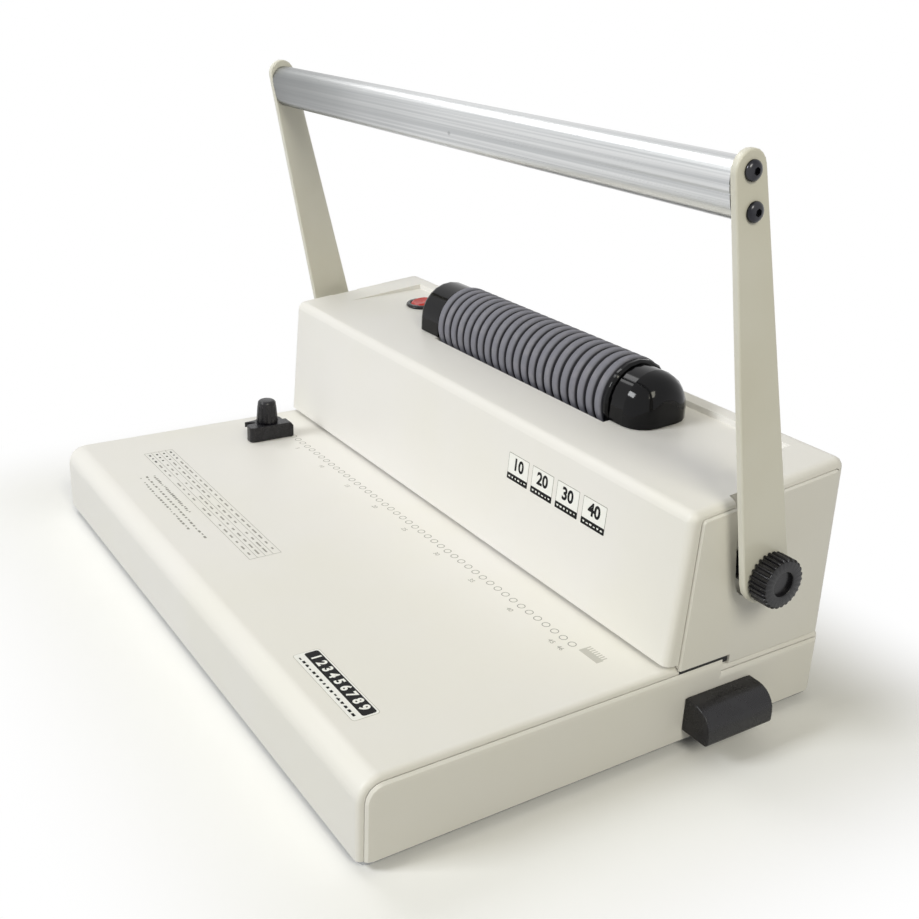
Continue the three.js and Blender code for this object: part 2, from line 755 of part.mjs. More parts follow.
function guideBlock() {
  const end = frameInnerX - clearance;
  const pocket = (sign) => rodZ(sign * springX, punchY - springFront,
    springRadius + springWire + pinPlay, guideTop - springPocket, guideTop + overrun);
  return box(-end, end, punchY - guideFront, punchY + guideBack, guideBottom, guideTop)
    .subtract(holeCutters(guideBottom - overrun, guideTop + overrun))
    .subtract(pocket(-1)).subtract(pocket(1));
}

function backGauge() {
  const end = frameInnerX - clearance;
  return box(-end, end, throatEnd, throatEnd + gaugeDepth, trayTop + clearance, throatTop);
}

for (const [side, place] of [["right", (b) => b], ["left", mirrorX]]) {
  add(`side_cover_${side}`, place(sideCover()), ivory);
  add(`side_frame_${side}`, place(sideFrame()), zincSteel);
  add(`shaft_bush_${side}`, place(shaftBush()), bronze);
  add(`pivot_collar_${side}`, place(pivotCollar()), satinBlack);
}
add("die_block", dieBlock(), steel);
add("pin_guide_block", guideBlock(), steel);
add("back_gauge", backGauge(), zincSteel);

// Punch bar with its row of pins, the racks that drive it and the springs that lift it
function punchBar() {
  const end = frameInnerX - barEndGap;
  const bar = box(-end, end, punchY - barFront, punchY + barBack, barBottom, barTop);
  const pins = holeXs.map((x, k) =>
    punchRod(x, pinRadius, throatTop + pinTipLift + (k % 3) * pinStagger, barBottom + overrun,
      pinSides));
  return bar.add(union(pins));
}

const rackPitchY = pivotY - pitchRadius;

function rackOutline() {
  const pitch = Math.PI * gearModule;
  const tip = rackPitchY + gearModule * 0.85;
  const root = rackPitchY - gearModule * 1.25;
  const back = root - rackDepth;
  const slope = Math.tan(pressureAngle);
  const halfAt = (y) => pitch / 4 - backlash / 2 - (y - rackPitchY) * slope;
  const bottom = barTop + clearance;
  const top = pivotZ + rackAbove;
  const points = [new THREE.Vector2(back, top), new THREE.Vector2(back, bottom),
    new THREE.Vector2(root, bottom)];
  const first = Math.ceil((bottom - pivotZ + halfAt(root)) / pitch - 0.5);
  const last = Math.floor((top - pivotZ - halfAt(root)) / pitch - 0.5);
  for (let k = first; k <= last; k += 1) {
    const z = pivotZ + (k + 0.5) * pitch;
    points.push(new THREE.Vector2(root, z - halfAt(root)), new THREE.Vector2(tip, z - halfAt(tip)));
    points.push(new THREE.Vector2(tip, z + halfAt(tip)), new THREE.Vector2(root, z + halfAt(root)));
  }
  points.push(new THREE.Vector2(root, top));
  return points;
}

function rack(sign) {
  const x = sign * pinionX;
  return prism(alongX, rackOutline(), x - pinionWidth / 2, x + pinionWidth / 2);
}

function pinionOutline() {
  const baseRadius = pitchRadius * Math.cos(pressureAngle);
  const rootRadius = pitchRadius - gearModule * 1.25;
  const tipRadius = pitchRadius + addendum;
  const involute = (angle) => Math.tan(angle) - angle;
  const halfAngleAt = (radius) => {
    const angle = radius > baseRadius ? Math.acos(baseRadius / radius) : 0;
    return Math.PI / (2 * pinionTeeth) - backlash / (2 * pitchRadius) / 2
      + involute(pressureAngle) - involute(angle);
  };
  const radii = [rootRadius, pitchRadius, tipRadius];
  const points = [];
  for (let k = 0; k < pinionTeeth; k += 1) {
    const middle = Math.PI + (2 * Math.PI * k) / pinionTeeth;
    const place = (radius, angle) =>
      points.push(new THREE.Vector2(radius * Math.cos(angle), radius * Math.sin(angle)));
    radii.forEach((radius) => place(radius, middle - halfAngleAt(radius)));
    radii.toReversed().forEach((radius) => place(radius, middle + halfAngleAt(radius)));
  }
  return points;
}

function pinion(sign) {
  const x = sign * pinionX;
  const gear = prism(alongX, pinionOutline(), x - pinionWidth / 2, x + pinionWidth / 2);
  const bore = rodX(0, 0, shaftRadius + clearance, x - pinionWidth, x + pinionWidth);
  return gear.rotate([-leanDegrees, 0, 0]).subtract(bore);
}

// A closed tube along a helix, from its pocket in the guide block up to the bar.
function liftSpring(sign) {
  const sides = 5;
  const stepsPerTurn = 8;
  const steps = springTurns * stepsPerTurn;
  const low = guideTop - springPocket + clearance + springWire;
  const high = barBottom - clearance - springWire;
  const rings = [];
  for (let k = 0; k <= steps; k += 1) {
    const angle = (2 * Math.PI * k) / stepsPerTurn;
    const radial = new THREE.Vector3(Math.cos(angle), Math.sin(angle), 0);
    const centre = radial.clone().multiplyScalar(springRadius);
    centre.z = low + ((high - low) * k) / steps;
    rings.push(Array.from({ length: sides }, (_, s) => {
      const turn = (-2 * Math.PI * s) / sides;
      const point = centre.clone().addScaledVector(radial, springWire * Math.cos(turn));
      point.z += springWire * Math.sin(turn);
      return point;
    }));
  }
  const spring = loft(rings);
  return spring.translate([sign * springX, punchY - springFront, 0]);
}

add("punch_bar", punchBar(), steel);
for (const [side, sign] of [["left", -1], ["right", 1]]) {
  add(`rack_${side}`, rack(sign), steel);
  add(`lift_spring_${side}`, liftSpring(sign), zincSteel);
}

// Handle: built upright about its pivot, then leant forward as one group
function handleShaft() {
  const arm = armOuterX - armThickness;
  const half = shaftSquare / 2;
  const end = armOuterX - clearance;
  return rodX(0, 0, shaftRadius, -arm + clearance, arm - clearance)
    .add(box(-end, end, -half, half, -half, half))
    .add(rodX(0, 0, studRadius, -armOuterX - studLength, armOuterX + studLength));
}

function arm() {
  const from = armOuterX - armThickness;
  const outline = taperedOutline(armBottomRadius, armTopRadius, armReach, 10);
  const hole = shaftSquare / 2 + clearance;
  let plate = prism(alongX, outline, from, armOuterX, armThickness / 6, 1)
    .subtract(box(from - overrun, armOuterX + overrun, -hole, hole, -hole, hole));
  for (const height of [armReach, armReach - armScrewSpacing]) {
    plate = plate.subtract(rodX(0, height, screwShankRadius + clearance, from - overrun,
      armOuterX + overrun));
  }
  return plate;
}

const barCentre = armReach - armScrewSpacing / 2;

function gripBarOutline() {
  const round = barSectionDepth / 2;
  const flat = barSectionHeight / 2 - round;
  const half = barGrooveWidth / 2;
  const sideAt = (h) => Math.sqrt(round ** 2 - Math.max(Math.abs(h) - flat, 0) ** 2);
  const side = (sign) => [barGrooveLow, barGrooveMiddle, barGrooveHigh].flatMap((h) => [
    [sign * sideAt(h - half), h - half],
    [sign * (sideAt(h) - barGrooveDepth), h],
    [sign * sideAt(h + half), h + half],
  ]);
  const arc = (from, to, height) => Array.from({ length: arcSteps + 1 }, (_, k) => {
    const angle = from + ((to - from) * k) / arcSteps;
    return [round * Math.cos(angle), height + round * Math.sin(angle)];
  });
  const topFrom = Math.asin((barGrooveHigh + half - flat) / round);
  return [...arc(Math.PI, 2 * Math.PI, -flat), ...side(1),
    ...arc(topFrom, Math.PI - topFrom, flat).slice(1, -1), ...side(-1).toReversed()]
    .map(([y, z]) => new THREE.Vector2(y, z + barCentre));
}

function gripBar() {
  const end = armOuterX - armThickness - clearance;
  const cut = end + overrun;
  const halfHollow = armScrewSpacing / 2 - barPortRadius - barSectionWall;
  const round = barSectionDepth / 2 - barSectionWall;
  let bar = prism(alongX, gripBarOutline(), -end, end);
  bar = bar.subtract(prism(alongX, outlineOf([
    [-round, barCentre - halfHollow, round / 4], [round, barCentre - halfHollow, round / 4],
    [round, barCentre + halfHollow, round / 4], [-round, barCentre + halfHollow, round / 4],
  ], 2), -cut, cut));
  for (const height of [armReach, armReach - armScrewSpacing]) {
    bar = bar.subtract(rodX(0, height, barPortRadius, -cut, cut, 12));
  }
  return bar;
}

function armScrew(height) {
  const seat = armOuterX + clearance;
  const head = turnedX([
    [seat, 0], [seat, screwHeadRadius],
    [seat + screwHeadHeight * 0.4, screwHeadRadius * 0.94],
    [seat + screwHeadHeight * 0.8, screwHeadRadius * 0.68],
    [seat + screwHeadHeight, screwHeadRadius * 0.45],
    [seat + screwHeadHeight, 0],
  ], 0, height, 14);
  const shank = rodX(0, height, screwShankRadius, armOuterX - screwLength, seat + overrun / 2, 12);
  const socket = rodX(0, height, socketRadius, seat + screwHeadHeight - socketDepth,
    seat + screwHeadHeight + overrun, 6);
  return head.add(shank).subtract(socket);
}

add("handle_shaft", handleShaft(), steel, handleGroup);
add("handle_bar", gripBar(), brushedAluminium, handleGroup);
for (const [side, place, sign] of [["right", (b) => b, 1], ["left", mirrorX, -1]]) {
  add(`arm_${side}`, place(arm()), ivoryPaint, handleGroup);
  add(`arm_screw_upper_${side}`, place(armScrew(armReach)), zincSteel, handleGroup);
  add(`arm_screw_lower_${side}`, place(armScrew(armReach - armScrewSpacing)), zincSteel,
    handleGroup);
  add(`pinion_${side}`, pinion(sign), steel, handleGroup);
}

// Hand knob that clamps an arm on the shaft's end
function handKnob() {
  const from = armOuterX + clearance;
  const to = from + knobDepth;
  const ring = (x, drop) => Array.from({ length: knobRibs * 2 }, (_, k) => {
    const rib = k % 2 < 1 ? 0 : knobRibDepth;
    const angle = (2 * Math.PI * k) / (knobRibs * 2);
    const radius = knobRadius - rib - drop;
    return new THREE.Vector3(x, pivotY + radius * Math.cos(angle),
      pivotZ + radius * Math.sin(angle));
  });
  const body = loft([ring(from, knobBevel), ring(from + knobBevel, 0), ring(to - knobBevel, 0),
    ring(to, knobBevel)]);
  return body
    .subtract(rodX(pivotY, pivotZ, knobRecessRadius, to - knobRecessDepth, to + overrun))
    .subtract(rodX(pivotY, pivotZ, studRadius + clearance, from - overrun,
      armOuterX + studLength + clearance));
}

add("hand_knob_right", handKnob(), satinBlack);
add("hand_knob_left", mirrorX(handKnob()), satinBlack);

// Coil inserter: ribbed roller, its shaft, brackets, belt drive and covers
const shaftLeft = rollerLeft - leftDomeLength + domeWall * 1.5;
const shaftRight = rollerRight + collarWidth + rightDomeLength / 2;
const pulleyRight = rollerLeft - slotMargin;
const pulleyLeft = pulleyRight - pulleyWidth;
const bracketLeftX = pulleyLeft - clearance * 3 - bracketThickness;
const bracketRightX = rollerRight + collarWidth + clearance * 3;

function rollerSleeve() {
  const profile = [[rollerLeft, rollerBore]];
  for (let k = 0; k < rollerRings; k += 1) {
    const from = rollerLeft + k * ringPitch;
    profile.push([from, rollerGrooveRadius], [from + ringGroove / 2, rollerRadius]);
    profile.push([from + ringPitch - ringGroove / 2, rollerRadius]);
  }
  profile.push([rollerRight, rollerGrooveRadius]);
  profile.push([rollerRight, rollerBore], [rollerLeft, rollerBore]);
  return turnedX(profile, rollerY, rollerZ, rollerSides);
}

function rollerCore() {
  const core = rollerBore - clearance;
  const collar = rollerRight + clearance;
  return turnedX([
    [shaftLeft, 0], [shaftLeft, rollerShaftRadius], [rollerLeft, rollerShaftRadius],
    [rollerLeft, core], [collar, core], [collar, rollerCollarRadius],
    [collar + collarWidth - turnedEdge, rollerCollarRadius],
    [collar + collarWidth, rollerCollarRadius - turnedEdge],
    [collar + collarWidth, rollerShaftRadius], [shaftRight, rollerShaftRadius], [shaftRight, 0],
  ], rollerY, rollerZ, rollerSides);
}

function pulley(radius, bore, y, z) {
  const rim = radius + pulleyFlangeRise;
  return turnedX([
    [pulleyLeft, bore], [pulleyLeft, rim], [pulleyLeft + pulleyFlange, rim],
    [pulleyLeft + pulleyFlange, radius], [pulleyRight - pulleyFlange, radius],
    [pulleyRight - pulleyFlange, rim], [pulleyRight, rim], [pulleyRight, bore], [pulleyLeft, bore],
  ], y, z);
}

const motorY = towerBack - motorToBack;
const motorZ = pivotZ - motorBelowPivot;
const motorPlateLeft = pulleyRight + clearance * 2;
const motorLeft = motorPlateLeft + motorPlate + clearance;

function motorPulley() {
  const rim = pulley(motorPulleyRadius, motorShaftRadius / 2, motorY, motorZ);
  return rim.add(rodX(motorY, motorZ, motorShaftRadius, pulleyLeft, motorLeft + motorLength / 4));
}

function driveBelt() {
  const from = pulleyLeft + pulleyFlange + clearance;
  const to = pulleyRight - pulleyFlange - clearance;
  const up = new THREE.Vector2(rollerY - motorY, rollerZ - motorZ);
  const reach = up.length();
  const turn = Math.atan2(-up.x, up.y);
  const loop = (extra) => taperedOutline(
    rollerPulleyRadius + extra, motorPulleyRadius + extra, reach, 14,
  ).map((p) => p.clone().rotateAround(new THREE.Vector2(), turn + Math.PI)
    .add(new THREE.Vector2(rollerY, rollerZ)));
  const outer = prism(alongX, loop(clearance + beltThickness), from, to);
  return outer.subtract(prism(alongX, loop(clearance), from - overrun, to + overrun));
}

function inserterMotor() {
  const end = motorLeft + motorLength;
  const boss = motorRadius / 3;
  return turnedX([
    [motorLeft, 0], [motorLeft, motorRadius - turnedEdge], [motorLeft + turnedEdge, motorRadius],
    [end - turnedEdge, motorRadius], [end, motorRadius - turnedEdge], [end, boss],
    [end + turnedEdge * 2, boss], [end + turnedEdge * 2, 0],
  ], motorY, motorZ, rollerSides).subtract(rodX(motorY, motorZ, motorShaftRadius + clearance,
    motorLeft - overrun, motorLeft + motorLength / 4 + clearance, 16));
}

function motorBracket() {
  const half = motorRadius + turnedEdge;
  const back = backAt(motorZ + half) - towerWall - clearance;
  const plate = box(motorPlateLeft, motorPlateLeft + motorPlate, motorY - half, back,
    motorZ - half, motorZ + half);
  const flange = box(motorPlateLeft, motorLeft + motorLength / 2, back - motorPlate, back,
    motorZ - half, motorZ + half);
  return plate.add(flange).subtract(rodX(motorY, motorZ, motorShaftRadius * 2,
    motorPlateLeft - overrun, motorPlateLeft + motorPlate + overrun));
}

function rollerBracket(x, footSign) {
  const underAt = (y) => dishAt(y) - towerWall - clearance;
  const low = rollerY - bracketHalfWidth;
  const high = rollerY + bracketHalfWidth;
  const hanger = underAt(low) - bracketThickness * 3;
  const plate = prism(alongX, outlineOf([
    [low, hanger], [high, hanger], [high, rollerZ + bracketHalfWidth, bracketHalfWidth * 0.9],
    [low, rollerZ + bracketHalfWidth, bracketHalfWidth * 0.9],
  ]), x, x + bracketThickness);
  const footFrom = footSign < 0 ? x - bracketFoot : x;
  const wide = leftDomeRadius + bracketHalfWidth / 2;
  const foot = prism(alongX, outlineOf([
    [rollerY - wide, underAt(rollerY - wide) - bracketThickness],
    [rollerY + wide, underAt(rollerY + wide) - bracketThickness],
    [rollerY + wide, underAt(rollerY + wide)], [rollerY - wide, underAt(rollerY - wide)],
  ]), footFrom, footFrom + bracketFoot + bracketThickness);
  return plate.add(foot).subtract(rodX(rollerY, rollerZ, rollerShaftRadius + clearance,
    x - overrun, x + bracketThickness + overrun));
}

// Domed cover over one end of the roller, cut to the slope it stands on.
function domeCover(domeRadius, length, rounding) {
  const inner = domeRadius - domeWall;
  const section = (radius) => {
    const points = [];
    for (let k = 0; k <= 12; k += 1) {
      const angle = (Math.PI * k) / 12;
      points.push(new THREE.Vector2(rollerY + radius * Math.cos(angle),
        rollerZ + radius * Math.sin(angle)));
    }
    const low = rollerZ - radius - rounding;
    points.push(new THREE.Vector2(rollerY - radius, low), new THREE.Vector2(rollerY + radius, low));
    return points;
  };
  const ground = prism(alongX, outlineOf([
    [towerFront, dishAt(towerFront) + clearance],
    [towerBack, dishAt(towerBack) + clearance],
    [towerBack, rollerZ + domeRadius * 2], [towerFront, rollerZ + domeRadius * 2],
  ]), 0, length);
  const hollowRounding = Math.max(rounding - domeWall, domeWall);
  return prism(alongX, section(domeRadius), -rounding - overrun, length, rounding, 4)
    .subtract(prism(alongX, section(inner), -rounding * 2, length - domeWall, hollowRounding, 4))
    .intersect(ground);
}

add("roller_sleeve", rollerSleeve(), greyRubber);
add("roller_core", rollerCore(), satinBlack);
add("roller_pulley", pulley(rollerPulleyRadius, rollerShaftRadius + clearance, rollerY, rollerZ),
  satinBlack);
add("motor_pulley", motorPulley(), satinBlack);
add("drive_belt", driveBelt(), footRubber);
add("inserter_motor", inserterMotor(), steel);
add("motor_bracket", motorBracket(), zincSteel);
add("roller_bracket_left", rollerBracket(bracketLeftX, -1), zincSteel);
add("roller_bracket_right", rollerBracket(bracketRightX, 1), zincSteel);
add("inserter_cover_right", domeCover(rightDomeRadius, rightDomeLength, rightDomeRounding)
  .translate([rollerRight + collarWidth + clearance * 2, 0, 0]), glossBlack);
add("inserter_cover_left", mirrorX(domeCover(leftDomeRadius, leftDomeLength, leftDomeRounding))
  .translate([rollerLeft - clearance, 0, 0]), glossBlack);
add("tower_hood", towerHood(), ivory);

// Round rocker switch, square to the sloping top
const switchGroup = new THREE.Group();
switchGroup.position.set(switchX, switchY, dishAt(switchY) + clearance * 1.5);
switchGroup.rotation.x = Math.atan(dishSlope);
machine.add(switchGroup);

function switchBezel() {
  return turnedZ([
    [-cupDepth, 0], [-cupDepth, cupRadius], [0, cupRadius], [0, bezelRadius],
    [bezelRise / 2, bezelRadius], [bezelRise, bezelRadius - bezelRise / 2],
    [bezelRise, bezelBore], [cupFloor - cupDepth, bezelBore], [cupFloor - cupDepth, 0],
  ]);
}

function switchRocker() {
  const pivotDrop = rockerThickness / 2;
  const disc = turnedZ([
    [-pivotDrop, 0], [-pivotDrop, rockerRadius * 0.85], [0, rockerRadius],
    [pivotDrop, rockerRadius], [pivotDrop + rockerCrown / 2, rockerRadius * 0.8],
    [pivotDrop, 0],
  ]);
  return disc.rotate([rockerTilt, 0, 0]);
}

add("switch_bezel", switchBezel(), satinBlack, switchGroup);
add("switch_rocker", switchRocker(), redPlastic, switchGroup);

// Appliance inlet, square to the tower's leaning back wall
const inletGroup = new THREE.Group();
inletGroup.position.set(inletX, backAt(inletZ) + clearance, inletZ);
inletGroup.rotation.x = Math.atan(backSlope);
machine.add(inletGroup);

function powerInlet() {
  const halfW = inletWidth / 2;
  const halfH = inletHeight / 2;
  const outer = inletFlangeThickness;
  const inner = outer - inletDepth;
  const body = box(-halfW, halfW, inner, outer / 2, -halfH, halfH);
  const flangeX = halfW + inletFlange;
  const flangeZ = halfH + inletFlange;
  const flange = prism(alongY, outlineOf([
    [-flangeZ, -flangeX, inletFlange], [flangeZ, -flangeX, inletFlange],
    [flangeZ, flangeX, inletFlange], [-flangeZ, flangeX, inletFlange],
  ], 3), 0, outer);
  const openW = halfW - socketWall;
  const openH = halfH - socketWall;
  const floor = inner + inletFloor;
  const socket = prism(alongY, outlineOf([
    [-openH, -openW], [openH, -openW, openH / 2], [openH, openW, openH / 2], [-openH, openW],
  ], 2), floor, outer + overrun);
  let inlet = body.add(flange).subtract(socket);
  for (const [x, row] of [[-contactSpacing, -1], [contactSpacing, -1], [0, 1]]) {
    const z = (row * contactHeight) / 2;
    inlet = inlet.add(box(x - contactWidth / 2, x + contactWidth / 2, floor - overrun,
      floor + contactLength, z - contactHeight / 2, z + contactHeight / 2));
  }
  return inlet;
}

add("power_inlet", powerInlet(), satinBlack, inletGroup);

// Edge guide, its clamp knob and the nut under the tray
const boss = guideBossCentre();
const guideLow = trayTop + clearance;
const guideHigh = guideLow + guideBarHeight;

function edgeGuide() {
  const front = markY - guideBarFront;
  const back = front + guideBarLength;
  const inner = guideFaceX - guideBarWidth;
  const bar = prism(alongZ, outlineOf([
    [inner, front, guideCorner], [guideFaceX, front, guideCorner], [guideFaceX, back], [inner, back],
  ]), guideLow, guideHigh);
  const round = rodZ(boss.x, boss.y, guideBossRadius, guideLow, guideHigh);
  const wing = prism(alongZ, outlineOf([
    [boss.x, boss.y - guideBossRadius * 0.5],
    [boss.x - guideBossRadius * 0.55, front + guideWing * 0.35],
    [boss.x - guideBossRadius * 0.75, boss.y - guideBossRadius * 0.3],
    [boss.x - guideBossRadius * 0.98, boss.y],
    [boss.x - guideBossRadius * 0.7, boss.y + guideBossRadius * 1.3, guideCorner],
    [boss.x, boss.y + guideBossRadius * 1.3],
  ]), guideHigh - guideWing, guideHigh);
  const chamfer = prism(alongX, outlineOf([
    [back - guideCorner, guideHigh + overrun], [back + overrun, guideHigh + overrun],
    [back + overrun, guideHigh - guideCorner - overrun],
  ]), inner - guideBossRadius, guideFaceX + overrun);
  return bar.add(round).add(wing).subtract(chamfer)
    .subtract(rodZ(boss.x, boss.y, guideStudRadius + clearance, guideLow - overrun,
      guideHigh + overrun));
}

function guideKnob() {
  const low = guideHigh + clearance;
  const high = low + guideKnobHeight;
  const ring = (z, radius, flute) => Array.from({ length: guideKnobFlutes * 4 }, (_, k) => {
    const cut = k % 4 === 0 ? flute : 0;
    const angle = (2 * Math.PI * k) / (guideKnobFlutes * 4);
    return new THREE.Vector3(boss.x + (radius - cut) * Math.cos(angle),
      boss.y + (radius - cut) * Math.sin(angle), z);
  });
  const shoulder = high - guideKnobTop * 0.35;
  const body = loft([
    ring(low, guideKnobBase, guideKnobFluteDepth),
    ring(shoulder, guideKnobTop, guideKnobFluteDepth),
    ring(shoulder + guideKnobTop * 0.2, guideKnobTop * 0.9, 0),
    ring(high, guideKnobTop * 0.62, 0),
  ]);
  return body.add(rodZ(boss.x, boss.y, guideStudRadius, nutLow - clearance, low + overrun));
}

const nutHigh = trayTop - baseWall - clearance;
const nutLow = nutHigh - nutHeight;

function guideNut() {
  const half = nutSize / 2;
  return box(boss.x - half, boss.x + half, boss.y - half, boss.y + half, nutLow, nutHigh)
    .subtract(rodZ(boss.x, boss.y, guideStudRadius + clearance, nutLow - overrun,
      nutHigh + overrun));
}

add("edge_guide", edgeGuide(), satinBlack);
add("guide_knob", guideKnob(), satinBlack);
add("guide_clamp_nut", guideNut(), zincSteel);

// Chip drawer under the die, pulled out by its grip, and the channel it runs in
function chipDrawer() {
  const face = halfWidth + clearance;
  const left = face - drawerLength;
  const { front, back, bottom, top } = drawerSides;
  const tray = box(left, face + overrun, front, back, bottom, top)
    .subtract(box(left + drawerWall, face - drawerWall, front + drawerWall, back - drawerWall,
      bottom + drawerWall, top + overrun));
  const gripTop = gripBottom + gripHeight;
  const grip = prism(alongY, outlineOf([
    [gripBottom, face], [gripTop, face, clearance], [gripTop, face + gripReach, gripRadius],
    [gripBottom, face + gripReach, gripWall],
  ], 6), drawerFront, drawerFront + gripWidth);
  const hollow = prism(alongY, outlineOf([
    [gripBottom - overrun, face + gripWall], [gripTop - gripWall, face + gripWall],
    [gripTop - gripWall, face + gripReach - gripWall, gripRadius - gripWall],
    [gripBottom - overrun, face + gripReach - gripWall],
  ], 4), drawerFront + gripWall, drawerFront + gripWidth - gripWall);
  return tray.add(grip.subtract(hollow));
}

function drawerChannel() {
  const left = halfWidth - drawerLength - overrun * 2;
  const right = halfWidth - endPanelDepth - clearance;
  const { front, back, bottom } = drawerSides;
  const innerFront = front - clearance;
  const innerBack = back + clearance;
  const floorTop = bottom - clearance;
  const wall = (low) => box(left, right, low, low + channelThickness, shellBottom,
    floorTop + channelLip);
  const floor = box(left, right, innerFront - channelThickness, innerBack + channelThickness,
    floorTop - channelThickness, floorTop);
  return floor.add(wall(innerFront - channelThickness)).add(wall(innerBack));
}

add("chip_drawer", chipDrawer(), satinBlack);
add("drawer_channel", drawerChannel(), zincSteel);

export default machine;
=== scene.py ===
# %% [markdown]
# # A coil binding machine, dressed for the camera
#
# The real machine is a desk-top punch. A sheet goes into the narrow slot under the tower, the
# handle comes down, and a row of pins cuts round holes. Then the grey roller on top spins a
# plastic coil into them. The shapes of all rigid pieces come from the CAD model. This lesson
# gives them soft moulded edges, real finishes, ribs, printed marks, light and a camera.

# %% Load the fixed frame
import json
import math

import bmesh
import bpy
from mathutils import Matrix, Vector


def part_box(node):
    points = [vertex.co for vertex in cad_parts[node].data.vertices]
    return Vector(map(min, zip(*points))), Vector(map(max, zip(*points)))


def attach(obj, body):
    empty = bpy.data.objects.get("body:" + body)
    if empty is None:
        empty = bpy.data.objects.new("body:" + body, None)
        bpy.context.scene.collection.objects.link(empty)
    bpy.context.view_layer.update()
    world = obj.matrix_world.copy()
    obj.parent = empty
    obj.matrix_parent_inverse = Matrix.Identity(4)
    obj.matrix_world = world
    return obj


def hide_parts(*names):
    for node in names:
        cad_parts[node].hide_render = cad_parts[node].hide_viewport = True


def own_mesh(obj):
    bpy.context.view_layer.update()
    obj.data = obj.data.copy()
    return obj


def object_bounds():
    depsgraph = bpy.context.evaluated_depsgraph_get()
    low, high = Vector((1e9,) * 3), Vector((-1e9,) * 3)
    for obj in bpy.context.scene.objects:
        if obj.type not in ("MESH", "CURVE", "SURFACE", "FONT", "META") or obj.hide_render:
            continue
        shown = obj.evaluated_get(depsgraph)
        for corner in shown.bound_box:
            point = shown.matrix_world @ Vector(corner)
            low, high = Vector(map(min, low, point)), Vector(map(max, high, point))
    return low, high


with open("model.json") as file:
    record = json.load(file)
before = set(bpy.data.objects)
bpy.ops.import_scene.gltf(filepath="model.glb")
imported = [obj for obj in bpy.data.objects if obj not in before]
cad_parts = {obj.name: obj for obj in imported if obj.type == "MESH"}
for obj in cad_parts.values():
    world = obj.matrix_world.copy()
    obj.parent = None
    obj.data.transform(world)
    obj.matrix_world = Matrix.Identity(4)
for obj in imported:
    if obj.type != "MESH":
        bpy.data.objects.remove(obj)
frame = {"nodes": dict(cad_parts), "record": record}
cad_low, cad_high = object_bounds()
scene = bpy.context.scene
MM = 0.001
BODY_OF = {node: body for body, nodes in frame["record"]["behaviour"]["bodies"].items()
           for node in nodes}
print("CAD box in mm:", [round(v / MM, 1) for v in (*cad_low, *cad_high)])

# %% [markdown]
# ## Node trees as Python sums
#
# Blender keeps both a finish and a Geometry Nodes recipe as a tree of nodes. Wiring Math nodes
# by hand hides what is being worked out, so a wrapped socket gets the usual operators, and each
# one adds the node it needs. One method makes any other node.

# %% A socket that can be added and multiplied
class Value:
    """One output socket of a node tree."""

    def __init__(self, tree, socket):
        self.tree = tree
        self.socket = socket

    def __add__(self, other):
        return self.tree.maths("ADD", self, other)

    def __radd__(self, other):
        return self.tree.maths("ADD", other, self)

    def __sub__(self, other):
        return self.tree.maths("SUBTRACT", self, other)

    def __rsub__(self, other):
        return self.tree.maths("SUBTRACT", other, self)

    def __mul__(self, other):
        return self.tree.maths("MULTIPLY", self, other)

    def __truediv__(self, other):
        return self.tree.maths("DIVIDE", self, other)


# %% A tree of nodes
class Tree:
    """A node tree, with one method that adds any node."""

    def __init__(self, tree):
        self.nodes = tree.nodes
        self.links = tree.links

    def put(self, target, value):
        if isinstance(value, Value):
            self.links.new(value.socket, target)
        elif hasattr(target.default_value, "__len__") and isinstance(value, (int, float)):
            target.default_value = [value] * len(target.default_value)
        else:
            target.default_value = value

    def node(self, kind, settings, inputs, output=0):
        made = self.nodes.new(kind)
        for key, value in settings.items():
            setattr(made, key, value)
        for key, value in inputs.items():
            self.put(made.inputs[key], value)
        return Value(self, made.outputs[output])

    def maths(self, operation, first, second=0.0):
        return self.node("ShaderNodeMath", {"operation": operation}, {0: first, 1: second})

    def part_of(self, vector, axis):
        return self.node("ShaderNodeSeparateXYZ", {}, {0: vector}, axis)

    def ramp(self, value, low, high):
        """0 below low, 1 above high, and smooth between."""
        return self.node("ShaderNodeMapRange", {"interpolation_type": "SMOOTHSTEP"},
                         {"Value": value, "From Min": low, "From Max": high})


